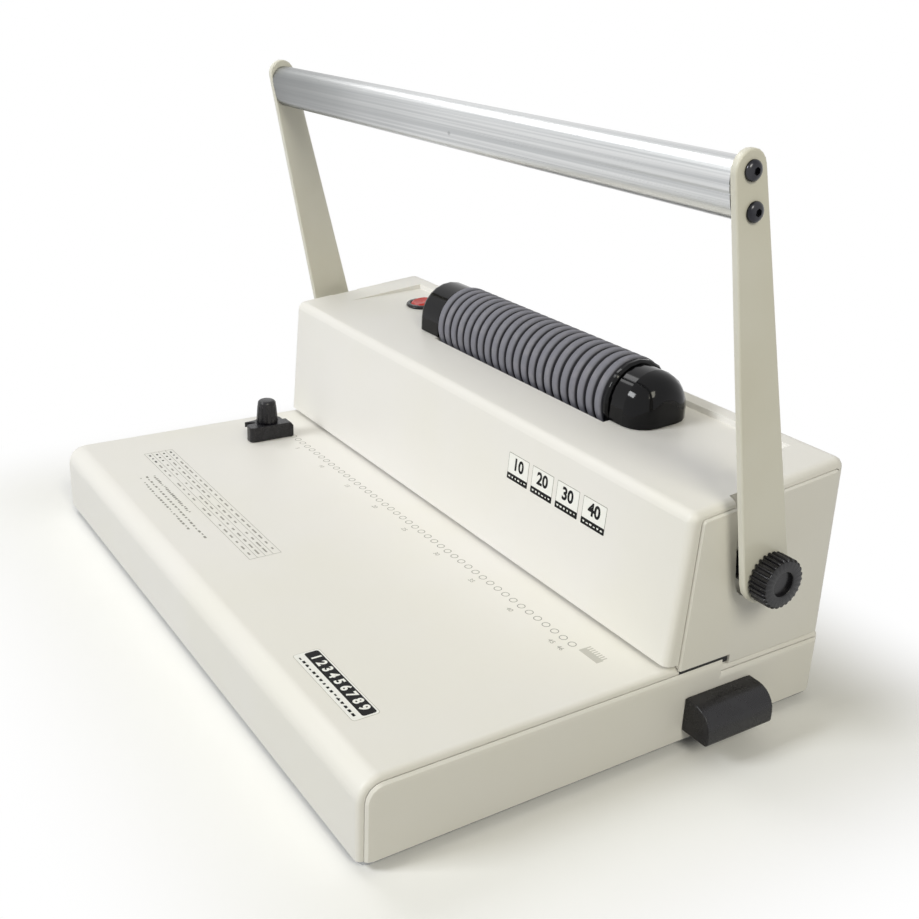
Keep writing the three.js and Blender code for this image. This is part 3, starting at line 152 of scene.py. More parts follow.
# %% A finish: one material and the nodes in it
class Finish(Tree):
    """A procedural material around one Principled shader."""

    def __init__(self, name, coat=0.0, specular=0.5):
        self.material = bpy.data.materials.new(name)
        self.material.use_nodes = True
        super().__init__(self.material.node_tree)
        self.shader = self.nodes["Principled BSDF"]
        self.shader.inputs["Coat Weight"].default_value = coat
        self.shader.inputs["Coat Roughness"].default_value = 0.06
        self.shader.inputs["Specular IOR Level"].default_value = specular
        self.place = self.node("ShaderNodeTexCoord", {}, {}, "Object")

    def scaled(self, x, y, z):
        """Object coordinates stretched along the axes, for grain that runs one way."""
        return self.node("ShaderNodeMapping", {}, {"Vector": self.place, "Scale": (x, y, z)})

    def noise(self, size_mm, detail, place=None):
        """Soft noise between 0 and 1 whose blobs are about size_mm wide."""
        return self.node("ShaderNodeTexNoise", {}, {
            "Vector": place or self.place, "Scale": 1.0 / (size_mm * MM), "Detail": detail})

    def distance_from(self, middle, keep):
        """Distance from a point, counted only along the axes that keep names with a 1."""
        centred = self.node("ShaderNodeVectorMath", {"operation": "SUBTRACT"},
                            {0: self.place, 1: middle})
        flat = self.node("ShaderNodeVectorMath", {"operation": "MULTIPLY"}, {0: centred, 1: keep})
        return self.node("ShaderNodeVectorMath", {"operation": "LENGTH"}, {0: flat}, "Value")

    def blend(self, factor, first, second):
        """A colour between two colours. A Math node would turn them grey."""
        made = self.nodes.new("ShaderNodeMix")
        made.data_type = "RGBA"
        self.put(made.inputs[0], factor)
        self.put(made.inputs[6], first)
        self.put(made.inputs[7], second)
        return Value(self, made.outputs[2])

    def bump(self, height, depth_mm, strength, under=None):
        settings = {"Height": height, "Distance": depth_mm * MM, "Strength": strength}
        if under is not None:
            settings["Normal"] = under
        return self.node("ShaderNodeBump", {}, settings)

    def done(self, color, roughness, normal, metallic=0.0):
        self.put(self.shader.inputs["Base Color"], color)
        self.put(self.shader.inputs["Roughness"], roughness)
        self.put(self.shader.inputs["Metallic"], metallic)
        self.put(self.shader.inputs["Normal"], normal)
        return self.material


def srgb(red, green, blue):
    """A display colour, 0 to 255, as the linear colour that the shader wants."""
    def channel(v):
        v /= 255.0
        return v / 12.92 if v <= 0.04045 else ((v + 0.055) / 1.055) ** 2.4
    return (channel(red), channel(green), channel(blue), 1.0)


print("ivory in linear light:", [round(v, 3) for v in srgb(233, 230, 222)[:3]])

# %% A recipe: Geometry Nodes with named sizes
SOCKET = {int: "NodeSocketInt", float: "NodeSocketFloat", tuple: "NodeSocketVector"}


def added(name, data):
    """A new object in the scene."""
    piece = bpy.data.objects.new(name, data)
    scene.collection.objects.link(piece)
    return piece


def baked(piece):
    """The piece with its modifiers applied, as a plain mesh."""
    graph = bpy.context.evaluated_depsgraph_get()
    mesh = bpy.data.meshes.new_from_object(piece.evaluated_get(graph))
    piece.modifiers.clear()
    piece.data = mesh
    return piece


class Recipe(Tree):
    """A Geometry Nodes tree whose named inputs are its sizes. Each run gives a plain mesh."""

    def __init__(self, name, shape_of, **sizes):
        self.group = bpy.data.node_groups.new(name, "GeometryNodeTree")
        self.group.is_modifier = True
        super().__init__(self.group)
        face = self.group.interface
        face.new_socket("Geometry", in_out="OUTPUT", socket_type="NodeSocketGeometry")
        face.new_socket("Base", in_out="INPUT", socket_type="NodeSocketGeometry")
        self.key = {}
        for size, value in sizes.items():
            made = face.new_socket(size, in_out="INPUT", socket_type=SOCKET[type(value)])
            made.default_value = value
            self.key[size] = made.identifier
        self.start = self.nodes.new("NodeGroupInput")
        real = self.node("GeometryNodeRealizeInstances", {}, {"Geometry": shape_of(self)})
        self.paint = self.nodes.new("GeometryNodeSetMaterial")
        self.put(self.paint.inputs["Geometry"], real)
        end = self.nodes.new("NodeGroupOutput")
        self.links.new(self.paint.outputs[0], end.inputs[0])

    def size(self, name):
        return Value(self, self.start.outputs[name])

    def xyz(self, x=0.0, y=0.0, z=0.0):
        return self.node("ShaderNodeCombineXYZ", {}, {0: x, 1: y, 2: z})

    def set_place(self, shape, place):
        return self.node("GeometryNodeSetPosition", {}, {"Geometry": shape, "Position": place})

    def joined(self, *shapes):
        made = self.nodes.new("GeometryNodeJoinGeometry")
        for shape in shapes:
            self.links.new(shape.socket, made.inputs[0])
        return Value(self, made.outputs[0])

    def welded(self, shape):
        return self.node("GeometryNodeMergeByDistance", {}, {
            "Geometry": shape, "Distance": 0.0005 * MM})

    def run(self, name, finish, place, base=None, smooth_deg=35.0, **sizes):
        """Evaluates the tree with these sizes and puts the mesh in its place."""
        self.paint.inputs["Material"].default_value = finish
        piece = added(name, base or bpy.data.meshes.new(f"{name}_base"))
        modifier = piece.modifiers.new("recipe", "NODES")
        modifier.node_group = self.group
        for size, value in sizes.items():
            modifier[self.key[size]] = value
        baked(piece)
        piece.data.transform(place)
        piece.data.shade_smooth()
        piece.data.set_sharp_from_angle(angle=math.radians(smooth_deg))
        return piece


print("recipes can take", ", ".join(kind.__name__ for kind in SOCKET), "sizes")

# %% [markdown]
# ## Ivory plastic
#
# The housing is moulded ABS. Up close it has a fine spark-eroded grain, it is a little more
# yellow in patches, and the gloss is uneven where hands have polished it. Noises of very
# different sizes give that: centimetres for the tint and the gloss, tenths of a millimetre for
# the grain.

# %% Ivory plastic
def moulded_plastic(name, main, warm, rough):
    f = Finish(name, specular=0.45)
    patches = f.ramp(f.noise(90, 2.0), 0.35, 0.7)
    speckle = f.ramp(f.noise(1.4, 2.0), 0.62, 0.78)
    color = f.blend(patches, main, warm)
    color = f.blend(speckle * 0.05, color, (main[0] * 0.8, main[1] * 0.79, main[2] * 0.74, 1.0))
    rubbed = f.ramp(f.noise(35, 4.0), 0.4, 0.75)
    grain = f.noise(0.5, 2.0)
    sag = f.noise(60, 1.0)
    normal = f.bump(sag, 0.25, 0.2, under=f.bump(grain, 0.018, 0.7))
    return f.done(color, rough + rubbed * -0.07 + grain * 0.06, normal)


ivory_plastic = moulded_plastic("ivory_plastic", srgb(235, 233, 230), srgb(234, 232, 226), 0.42)
print("made", ivory_plastic.name)

# %% [markdown]
# ## Painted arms
#
# The arms are steel strip under baked enamel. Enamel is a little greyer than the plastic, has
# a faint orange-peel ripple some millimetres wide, and is smoother.

# %% Painted arms
def baked_enamel(name, main, dark):
    f = Finish(name, coat=0.25)
    cloud = f.ramp(f.noise(50, 2.0), 0.3, 0.75)
    peel = f.noise(2.2, 2.0)
    fine = f.noise(0.6, 2.0)
    color = f.blend(cloud, main, dark)
    normal = f.bump(peel, 0.05, 0.5, under=f.bump(fine, 0.01, 0.5))
    return f.done(color, 0.36 + cloud * 0.06 + peel * 0.05, normal)


ivory_paint = baked_enamel("ivory_paint", srgb(226, 224, 214), srgb(220, 217, 204))
print("made", ivory_paint.name)

# %% [markdown]
# ## Extruded aluminium
#
# The handle bar is an aluminium extrusion. The die leaves hair-fine lines along its whole
# length, so the noise is stretched 250 times along X. The lines show in the colour, the gloss
# and the bump. The left end is painted darker and a little rougher, as painted shade for the
# dimmer reflection at that end.

# %% Extruded aluminium
def extruded_aluminium(name):
    f = Finish(name)
    low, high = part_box("handle_bar")
    fine = f.noise(0.35, 2.0, f.scaled(0.004, 1.0, 1.0))
    streaks = f.ramp(f.noise(1.6, 2.0, f.scaled(0.004, 1.0, 1.0)), 0.3, 0.7)
    dents = f.ramp(f.noise(9, 3.0), 0.7, 0.76)
    # Painted shade: the left end is darkened for the dimmer reflection there, and made a little
    # rougher.
    shaded_left_end = 1 - f.ramp(f.part_of(f.place, 0) + f.noise(60, 1.0) * 0.05, low.x, high.x * 0.15)
    color = f.blend(streaks, srgb(188, 190, 191), srgb(220, 221, 221))
    color = f.blend(shaded_left_end * 0.9, color, srgb(116, 118, 118))
    color = f.blend(dents * 0.4, color, srgb(120, 122, 124))
    normal = f.bump(streaks, 0.05, 0.35, under=f.bump(fine, 0.02, 0.3))
    return f.done(color, 0.24 + fine * 0.1 + shaded_left_end * 0.05 + dents * 0.1, normal, metallic=1.0)


aluminium_bar = extruded_aluminium("aluminium_bar")
print("made", aluminium_bar.name)

# %% [markdown]
# ## Black plastics
#
# The covers at the roller's ends and the roller's core are polished, with hair scratches that
# catch the light. The knobs, the grip and the guide are satin with a moulded grain. The feet,
# and the black strips of painted shade under the side covers, are matt rubber: the same recipe
# with a rougher surface.

# %% Polished and satin black
def polished_black(name):
    f = Finish(name, specular=0.2)
    dust = f.ramp(f.noise(1.1, 3.0), 0.68, 0.82)
    smear = f.noise(18, 3.0)
    hairs = f.ramp(f.noise(0.5, 2.0, f.scaled(0.15, 1.0, 1.0)), 0.6, 0.75)
    color = f.blend(dust * 0.08, srgb(10, 10, 12), srgb(60, 59, 57))
    normal = f.bump(f.noise(12, 2.0), 0.08, 0.25, under=f.bump(hairs, 0.003, 0.4))
    return f.done(color, 0.07 + smear * 0.05 + dust * 0.1, normal)


def satin_black_plastic(name, main, worn, rough):
    f = Finish(name, specular=0.4)
    wear = f.ramp(f.noise(9, 4.0), 0.5, 0.75)
    grain = f.noise(0.45, 2.0)
    color = f.blend(wear * 0.5, main, worn)
    normal = f.bump(f.noise(6, 2.0), 0.04, 0.4, under=f.bump(grain, 0.02, 0.8))
    return f.done(color, rough + wear * 0.08 + grain * 0.06, normal)


gloss_black = polished_black("gloss_black")
satin_black = satin_black_plastic("satin_black", srgb(22, 21, 25), srgb(38, 37, 41), 0.24)
black_rubber = satin_black_plastic("black_rubber", srgb(40, 40, 42), srgb(66, 64, 62), 0.7)
print("made", gloss_black.name, satin_black.name, black_rubber.name)

# %% [markdown]
# ## Grey rubber
#
# The roller's sleeve is soft grey rubber. The grooves between the rings are painted near
# black, as painted shade for the deep grooves. The distance from the roller's axis tells crown
# from groove, so the colour is worked out from the place itself.

# %% Grey rubber, with painted shade in the grooves
SHADE_FULL_DEPTH_MM, SHADE_START_DEPTH_MM = 1.3, 0.35
roller_low, roller_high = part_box("roller_sleeve")
roller_axis = (roller_low + roller_high) / 2
roller_radius = (roller_high.z - roller_low.z) / 2


def ribbed_rubber(name):
    f = Finish(name, specular=0.3)
    reach = f.distance_from(roller_axis, (0.0, 1.0, 1.0))
    # Painted shade: deeper into the grooves the rubber is painted near black.
    crown = f.ramp(reach, roller_radius - SHADE_FULL_DEPTH_MM * MM, roller_radius - SHADE_START_DEPTH_MM * MM)
    dusty = f.ramp(f.noise(6, 4.0), 0.45, 0.75)
    grain = f.noise(0.35, 3.0)
    grey = f.blend(dusty, srgb(128, 128, 138), srgb(142, 141, 149))
    color = f.blend(crown, srgb(34, 34, 40), grey)
    color = f.blend(grain * 0.12, color, srgb(92, 91, 98))
    normal = f.bump(grain, 0.03, 0.8)
    return f.done(color, 0.6 + dusty * 0.12 + grain * 0.05, normal)


grey_rubber = ribbed_rubber("grey_rubber")
print("roller radius in mm:", round(roller_radius / MM, 2))

# %% [markdown]
# ## Metals
#
# The works are ground steel, zinc-plated sheet and sintered bronze. They show only through
# gaps, but each still has scratches or a crystalline bloom. The arm screws are polished.

# %% Steel, zinc, bronze and polished screws
def metal(name, light, dark, rough, size_mm, stretch, depth=0.02):
    f = Finish(name)
    lines = f.noise(size_mm, 3.0, f.scaled(*stretch))
    cloud = f.ramp(f.noise(size_mm * 12, 3.0), 0.35, 0.7)
    color = f.blend(cloud, light, dark)
    normal = f.bump(lines, depth, 0.5)
    return f.done(color, rough + lines * 0.15 + cloud * 0.06, normal, metallic=1.0)


bare_steel = metal("bare_steel", srgb(176, 178, 182), srgb(148, 150, 154), 0.28, 0.4, (0.05, 1, 1))
zinc_steel = metal("zinc_steel", srgb(200, 202, 203), srgb(178, 182, 186), 0.34, 1.5, (1, 1, 1))
bronze = metal("bronze", srgb(186, 148, 96), srgb(160, 122, 76), 0.4, 0.4, (1, 1, 1))
screw_steel = metal("screw_steel", srgb(66, 66, 69), srgb(50, 50, 54), 0.1, 0.5, (1, 1, 1), 0.01)
print("made", bare_steel.name, zinc_steel.name, bronze.name, screw_steel.name)

# %% [markdown]
# ## Red rocker and printing inks
#
# The switch is glossy red plastic with finger marks. The inks lie on the plastic as thin
# layers, a little worn.

# %% Red plastic and inks
def red_plastic_finish(name):
    f = Finish(name, specular=0.25)
    marks = f.ramp(f.noise(3, 3.0), 0.45, 0.75)
    color = f.blend(marks, srgb(182, 34, 22), srgb(200, 50, 32))
    normal = f.bump(f.noise(2, 2.0), 0.02, 0.4)
    return f.done(color, 0.16 + marks * 0.14, normal)


def ink(name, main, worn, rough=0.5):
    f = Finish(name, specular=0.15)
    rubbed = f.ramp(f.noise(2.5, 4.0), 0.5, 0.8)
    color = f.blend(rubbed * 0.5, main, worn)
    return f.done(color, rough + rubbed * 0.1, f.bump(f.noise(0.4, 2.0), 0.01, 0.4))


red_plastic = red_plastic_finish("red_plastic")
black_ink = ink("black_ink", srgb(16, 16, 18), srgb(40, 40, 40))
grey_ink = ink("grey_ink", srgb(158, 156, 150), srgb(186, 184, 176))
pale_ink = ink("pale_ink", srgb(196, 194, 187), srgb(212, 210, 202))
white_label = ink("white_label", srgb(243, 243, 240), srgb(238, 237, 232), 0.35)
print("made", red_plastic.name, black_ink.name, grey_ink.name, pale_ink.name, white_label.name)

# %% [markdown]
# ## Soft edges on the CAD solids
#
# The CAD solids have knife edges and facets. On the real machine every edge is rounded by the
# mould or the tumbling drum. A copy of each visible solid is merged, its flat faces are joined,
# its edges get a small bevel, and its curved faces are shaded smooth. Weighted normals keep the
# big faces flat. The copy stands for the CAD node, which stays as the unseen frame.

# %% A dressed copy of a CAD node
WELD_MM = 0.002
FLAT_DEG = 0.4
SMOOTH_DEG = 32.0
BEVEL_SEGMENTS = 2
FLAT_FACE_WEIGHT = 60


def merged_mesh(node):
    """The node's triangles with shared corners, and flat areas as single faces."""
    work = bmesh.new()
    work.from_mesh(frame["nodes"][node].data)
    bmesh.ops.remove_doubles(work, verts=work.verts, dist=WELD_MM * MM)
    bmesh.ops.dissolve_limit(work, angle_limit=math.radians(FLAT_DEG), verts=work.verts,
                             edges=work.edges)
    mesh = bpy.data.meshes.new(f"{node}_dressed")
    work.to_mesh(mesh)
    work.free()
    return mesh


stood_for = set()


def stand_for(piece, *nodes):
    """The piece is seen in place of these CAD nodes and moves with their body."""
    stood_for.update(nodes)
    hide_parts(*nodes)
    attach(piece, BODY_OF[nodes[0]])
    return piece


def dress(node, finish, bevel_mm):
    """A copy of the node with bevelled edges and this finish, which stands for it."""
    mesh = merged_mesh(node)
    mesh.shade_smooth()
    mesh.set_sharp_from_angle(angle=math.radians(SMOOTH_DEG))
    mesh.materials.clear()
    mesh.materials.append(finish)
    piece = added(f"{node}_dressed", mesh)
    if bevel_mm:
        bevel = piece.modifiers.new("edge", "BEVEL")
        bevel.width = bevel_mm * MM
        bevel.segments = BEVEL_SEGMENTS
        bevel.limit_method = "ANGLE"
        bevel.angle_limit = math.radians(SMOOTH_DEG)
        bevel.use_clamp_overlap = True
    weighted = piece.modifiers.new("flat_faces", "WEIGHTED_NORMAL")
    weighted.weight = FLAT_FACE_WEIGHT
    weighted.keep_sharp = True
    baked(piece)
    return stand_for(piece, node)


DRESSED = {
    "base_tray": (ivory_plastic, 0.3), "base_end_left": (ivory_plastic, 0.5),
    "base_end_right": (ivory_plastic, 0.5), "tower_hood": (ivory_plastic, 0.8),
    "side_cover_left": (ivory_plastic, 0.5), "side_cover_right": (ivory_plastic, 0.5),
    "arm_left": (ivory_paint, 0.25), "arm_right": (ivory_paint, 0.25),
    "handle_bar": (aluminium_bar, 0.0),
    "chip_drawer": (satin_black, 1.3),
    "edge_guide": (satin_black, 0.3),
    "pivot_collar_left": (satin_black, 0.2), "pivot_collar_right": (satin_black, 0.2),
    "inserter_cover_left": (gloss_black, 0.3), "inserter_cover_right": (gloss_black, 0.3),
    "roller_core": (gloss_black, 0.2),
    "switch_bezel": (satin_black, 0.15), "switch_rocker": (red_plastic, 0.2),
    "power_inlet": (satin_black, 0.2),
}
for node, (finish, bevel_mm) in DRESSED.items():
    piece = dress(node, finish, bevel_mm)
    print(f"{node}: {len(piece.data.polygons)} faces")

# %% [markdown]
# ## Lift springs
#
# Two springs lift the punch bar. Their lower ends stay where they are, so on the machine each one
# flattens towards that end by as much as the bar comes down. Here each gets a zinc finish and a
# mesh of its own, and the share of its length left at the bottom of the stroke is printed.

# %% Lift springs
joints = {joint["name"]: joint for joint in frame["record"]["behaviour"]["joints"]}
punch_slide = joints["punch_slide"]
for entry in punch_slide["deforming_nodes"]:
    low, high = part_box(entry["node"])
    spring = dress(entry["node"], zinc_steel, 0)
    left_over = 1 - punch_slide["range_m"][1] / (high.z - low.z)
    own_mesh(spring)
    print(entry["node"], "keeps", round(left_over, 3), "of its length")

# %% [markdown]
# ## A rule-shaped sleeve
#
# The sleeve needs no modelling by hand, because one rule gives every point of it. Geometry Nodes
# starts from a flat grid. Its first coordinate runs along the roller and its second runs round
# it. The fraction left after counting whole rings says how far a point is from the nearest
# groove, and that sets its radius. The first and last columns drop to the bore, and a second
# grid lines it.

# %% The roller's rubber rings
SLEEVE_RINGS = 22
SLEEVE_GROOVE_MM = 2.4
SLEEVE_WALL_MM = 4.4
CROWN_RISE_MM = 0.3
GROOVE_SHARE, CROWN_SHARE = 0.06, 0.25
COLUMNS_PER_RING = 12
SLEEVE_STEPS = 96


def share_grid(tree, columns, rows):
    """A grid, and its two coordinates as shares from 0 to 1."""
    grid = tree.node("GeometryNodeMeshGrid", {}, {
        "Size X": 1.0, "Size Y": 1.0, "Vertices X": columns, "Vertices Y": rows})
    place = tree.node("GeometryNodeInputPosition", {}, {})
    return grid, tree.part_of(place, 0) + 0.5, tree.part_of(place, 1) + 0.5


def round_z(tree, reach, around, height):
    """A point this far from the Z axis, at this share of a turn and at this height."""
    angle = around * -math.tau
    return tree.xyz(reach * tree.maths("COSINE", angle), reach * tree.maths("SINE", angle),
                    height)


def ringed_sleeve(tree):
    length, bore = tree.size("Length"), tree.size("Bore")
    steps = tree.size("Steps") + 1
    last = tree.size("Columns") + 1
    grid, across, around = share_grid(tree, last + 1, steps)
    column = across * last
    along = tree.maths("MINIMUM", tree.maths("MAXIMUM", (column - 1) / (last - 2), 0.0), 1.0)
    in_ring = tree.maths("FRACT", along * tree.size("Rings"))
    from_groove = tree.maths("MINIMUM", in_ring, 1 - in_ring)
    crown = tree.ramp(from_groove, GROOVE_SHARE, CROWN_SHARE)
    sunk = tree.size("Rise") * (1 - tree.maths("SINE", from_groove * math.pi))
    outer = tree.size("Groove") + (tree.size("Radius") - tree.size("Groove") - sunk) * crown
    from_end = tree.maths("MINIMUM", tree.maths("MINIMUM", column, last - column), 1.0)
    skin = tree.set_place(grid, round_z(tree, bore + (outer - bore) * from_end, around,
                                        (along - 0.5) * length))
    grid, across, around = share_grid(tree, 2, steps)
    lining = tree.set_place(grid, round_z(tree, bore, around, (0.5 - across) * length))
    return tree.welded(tree.joined(skin, lining))


def facing_x(place, sign=1):
    """The matrix that lays a shape's Z axis along X, or along -X where sign is -1."""
    return Matrix.Translation(place) @ Matrix.Rotation(sign * math.pi / 2, 4, "Y")


def from_inner_end(low, high, sign):
    """The same matrix, placed in the middle of the end of a box that faces the machine."""
    return facing_x((low.x if sign > 0 else high.x, (low.y + high.y) / 2, (low.z + high.z) / 2),
                    sign)


sleeve_recipe = Recipe("ringed_sleeve", ringed_sleeve, Length=0.1, Radius=0.02, Groove=0.018,
                       Bore=0.015, Rise=0.0003, Rings=20, Columns=240, Steps=48)
sleeve = sleeve_recipe.run(
    "roller_sleeve_dressed", grey_rubber, facing_x(roller_axis), smooth_deg=60.0,
    Length=roller_high.x - roller_low.x, Radius=roller_radius,
    Groove=roller_radius - SLEEVE_GROOVE_MM * MM, Bore=roller_radius - SLEEVE_WALL_MM * MM,
    Rise=CROWN_RISE_MM * MM, Rings=SLEEVE_RINGS,
    Columns=SLEEVE_RINGS * COLUMNS_PER_RING + 1, Steps=SLEEVE_STEPS)
stand_for(sleeve, "roller_sleeve")
print("sleeve:", len(sleeve.data.polygons), "faces")

# %% [markdown]
# ## Turned pieces with ribs
#
# A second recipe turns a profile round an axis. Its base mesh is the profile, one point after
# another. A point's X is its radius and its Z is its height. Its Y isn't a place at all: it says
# what share of the ribs' depth is cut away there, so the ribs can fade out on a rounded top. The
# three knobs use it, and so do the button screws, which then lose a hexagon by a boolean.

# %% A recipe for turned pieces
RIB_SLOPE_SHARE = 0.3
ARC_STEPS = 5


def turned(tree):
    profile = Value(tree, tree.start.outputs["Base"])
    points = tree.node("GeometryNodeAttributeDomainSize", {}, {"Geometry": profile},
                       "Point Count")
    grid, across, around = share_grid(tree, points, tree.size("Steps") + 1)
    index = tree.maths("ROUND", across * (points - 1))
    corner = tree.node("GeometryNodeSampleIndex", {"data_type": "FLOAT_VECTOR"}, {
        "Geometry": profile, "Value": tree.node("GeometryNodeInputPosition", {}, {}),
        "Index": index})
    in_rib = tree.maths("FRACT", around * tree.size("Ribs"))
    from_crest = tree.maths("ABSOLUTE", in_rib * 2 - 1)
    valley = tree.ramp(from_crest, tree.size("Crest"), tree.size("Crest") + RIB_SLOPE_SHARE)
    reach = tree.part_of(corner, 0) - valley * tree.part_of(corner, 1) * tree.size("Depth")
    return tree.welded(tree.set_place(grid, round_z(tree, reach, around,
                                                    tree.part_of(corner, 2))))


def turned_with_hexagon(tree):
    hexagon = tree.node("GeometryNodeMeshCylinder", {}, {
        "Vertices": 6, "Radius": tree.size("Hexagon"), "Depth": tree.size("Hexagon Depth") * 2})
    sunk = tree.node("GeometryNodeTransform", {}, {
        "Geometry": hexagon, "Translation": tree.xyz(z=tree.size("Top"))})
    return tree.node("GeometryNodeMeshBoolean", {"operation": "DIFFERENCE"},
                     {"Mesh 1": turned(tree), "Mesh 2": sunk})


def profile_mesh(name, points_mm):
    """The profile's points, joined one after another."""
    mesh = bpy.data.meshes.new(name)
    mesh.from_pydata([Vector(point) * MM for point in points_mm],
                     [(k, k + 1) for k in range(len(points_mm) - 1)], [])
    for vertex, (_, ribbed, _) in zip(mesh.vertices, points_mm):
        vertex.co.y = ribbed
    return mesh


def corner_arc(reach, height, radius, start_deg, stop_deg, ribbed=(0.0, 0.0)):
    """Points of a rounded corner about a centre, with the rib share from start to stop."""
    points = []
    for k in range(ARC_STEPS + 1):
        share = k / ARC_STEPS
        angle = math.radians(start_deg + (stop_deg - start_deg) * share)
        points.append((reach + radius * math.cos(angle),
                       ribbed[0] + (ribbed[1] - ribbed[0]) * share,
                       height + radius * math.sin(angle)))
    return points


TURNED_SIZES = {"Steps": 48, "Ribs": 12, "Depth": 0.001, "Crest": 0.3}
turned_recipe = Recipe("turned_piece", turned, **TURNED_SIZES)
screw_recipe = Recipe("turned_with_hexagon", turned_with_hexagon, **TURNED_SIZES,
                      **{"Hexagon": 0.0015, "Hexagon Depth": 0.001, "Top": 0.002})
print("two recipes for turned pieces")

# %% The hand knobs
HAND_KNOB_RIBS, STEPS_PER_RIB = 26, 12
HAND_KNOB_RIB_MM = 1.25
HAND_KNOB_ROUND_MM = 1.1
RECESS_RADIUS_MM = 5.5
RECESS_DEPTH_MM = 1.8
STUD_RADIUS_MM = 2.8
STUD_DEPTH_MM = 4.6


def hand_knob_profile(radius, depth):
    r = HAND_KNOB_ROUND_MM
    lip = r / 2
    return [
        (0, 0, STUD_DEPTH_MM), (STUD_RADIUS_MM, 0, STUD_DEPTH_MM), (STUD_RADIUS_MM, 0, 0),
        *corner_arc(radius - lip, lip, lip, -90, 0, (1, 1)),
        *corner_arc(radius - r, depth - r, r, 0, 90, (1, 0.1)),
        *corner_arc(RECESS_RADIUS_MM + lip, depth - lip, lip, 90, 180),
        (RECESS_RADIUS_MM, 0, depth - RECESS_DEPTH_MM), (0, 0, depth - RECESS_DEPTH_MM),
    ]


for side, sign in (("right", 1), ("left", -1)):
    low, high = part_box(f"hand_knob_{side}")
    knob = turned_recipe.run(
        f"hand_knob_{side}_dressed", satin_black, from_inner_end(low, high, sign),
        profile_mesh("hand_knob_profile", hand_knob_profile((high.z - low.z) / 2 / MM,
                                                            (high.x - low.x) / MM)),
        Steps=HAND_KNOB_RIBS * STEPS_PER_RIB, Ribs=HAND_KNOB_RIBS,
        Depth=HAND_KNOB_RIB_MM * MM, Crest=0.25)
    stand_for(knob, f"hand_knob_{side}")
    print(f"hand_knob_{side}:", len(knob.data.polygons), "faces")

# %% The edge guide's knob
GUIDE_KNOB_FLUTES, STEPS_PER_FLUTE = 14, 10
GUIDE_KNOB_FLUTE_MM = 0.45
GUIDE_KNOB_BASE_MM = 6.5
GUIDE_KNOB_TOP_MM = 5.7
GUIDE_KNOB_ROUND_MM = 2.0
GUIDE_KNOB_EDGE_MM = 0.4
GUIDE_KNOB_NECK_SHARE = 0.72
GUIDE_KNOB_FADE_MM = 0.7
GUIDE_KNOB_TAPER_MM = (0.15, 0.25)
GUIDE_STUD_MM = 2.5
SEAT_GAP_MM = 0.3

knob_low, knob_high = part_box("guide_knob")
knob_bottom = (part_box("edge_guide")[1].z - knob_low.z) / MM + SEAT_GAP_MM
knob_top = (knob_high.z - knob_low.z) / MM
neck = knob_bottom + (knob_top - knob_bottom) * GUIDE_KNOB_NECK_SHARE
guide_knob_profile = [
    (0, 0, 0), (GUIDE_STUD_MM, 0, 0), (GUIDE_STUD_MM, 0, knob_bottom),
    *corner_arc(GUIDE_KNOB_BASE_MM - GUIDE_KNOB_EDGE_MM, knob_bottom + GUIDE_KNOB_EDGE_MM,
                GUIDE_KNOB_EDGE_MM, -90, 0, (1, 1)),
    (GUIDE_KNOB_TOP_MM, 1, neck),
    (GUIDE_KNOB_TOP_MM - GUIDE_KNOB_TAPER_MM[0], 0, neck + GUIDE_KNOB_FADE_MM),
    *corner_arc(GUIDE_KNOB_TOP_MM - GUIDE_KNOB_TAPER_MM[1] - GUIDE_KNOB_ROUND_MM,
                knob_top - GUIDE_KNOB_ROUND_MM, GUIDE_KNOB_ROUND_MM, 0, 90),
    (0, 0, knob_top),
]
guide_knob = turned_recipe.run(
    "guide_knob_dressed", satin_black,
    Matrix.Translation(((knob_low.x + knob_high.x) / 2, (knob_low.y + knob_high.y) / 2,
                        knob_low.z)),
    profile_mesh("guide_knob_profile", guide_knob_profile),
    Steps=GUIDE_KNOB_FLUTES * STEPS_PER_FLUTE, Ribs=GUIDE_KNOB_FLUTES,
    Depth=GUIDE_KNOB_FLUTE_MM * MM, Crest=0.55)
stand_for(guide_knob, "guide_knob")
print("guide_knob:", len(guide_knob.data.polygons), "faces")

# %% The button screws in the arms
SCREW_HEAD_MM = 2.2
SCREW_SHANK_MM = 2.1
SCREW_RIM_MM = 0.35
SCREW_DOME_STEPS = 9
SCREW_DOME_POWER = 0.9
HEXAGON_RADIUS_MM = 1.55
HEXAGON_DEPTH_MM = 1.3


def screw_profile(radius, length):
    """Shank, flat seat, low rim, dome and a small flat on top."""
    seat = length - SCREW_HEAD_MM
    dome = []
    for k in range(SCREW_DOME_STEPS):
        angle = math.radians(90 * k / SCREW_DOME_STEPS)
        dome.append((radius * math.cos(angle) ** SCREW_DOME_POWER, 0,
                     seat + SCREW_RIM_MM + (SCREW_HEAD_MM - SCREW_RIM_MM) * math.sin(angle)))
    return [(0, 0, 0), (SCREW_SHANK_MM, 0, 0), (SCREW_SHANK_MM, 0, seat), (radius, 0, seat),
            *dome, (0, 0, length)]


for side, sign in (("right", 1), ("left", -1)):
    for level in ("upper", "lower"):
        node = f"arm_screw_{level}_{side}"
        low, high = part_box(node)
        length = (high.x - low.x) / MM
        screw = screw_recipe.run(
            f"{node}_dressed", screw_steel, from_inner_end(low, high, sign),
            profile_mesh(f"{node}_profile", screw_profile((high.z - low.z) / 2 / MM, length)),
            Steps=48, Ribs=1, Depth=0.0, Crest=0.5,
            **{"Hexagon": HEXAGON_RADIUS_MM * MM, "Hexagon Depth": HEXAGON_DEPTH_MM * MM,
               "Top": length * MM})
        stand_for(screw, node)
print("last screw:", len(screw.data.polygons), "faces")

# %% [markdown]
# ## Printed marks
#
# Ink has no thickness that a hand could feel, but a flat sheet in the same place as the plastic
# would flicker. So each mark is a plate a few hundredths of a millimetre high. The tray carries
# the row of hole marks, a ruled table and a label, and the tower's front carries four small
# tiles. Words and signs are left out, and plain numbers and strokes stand in their place.

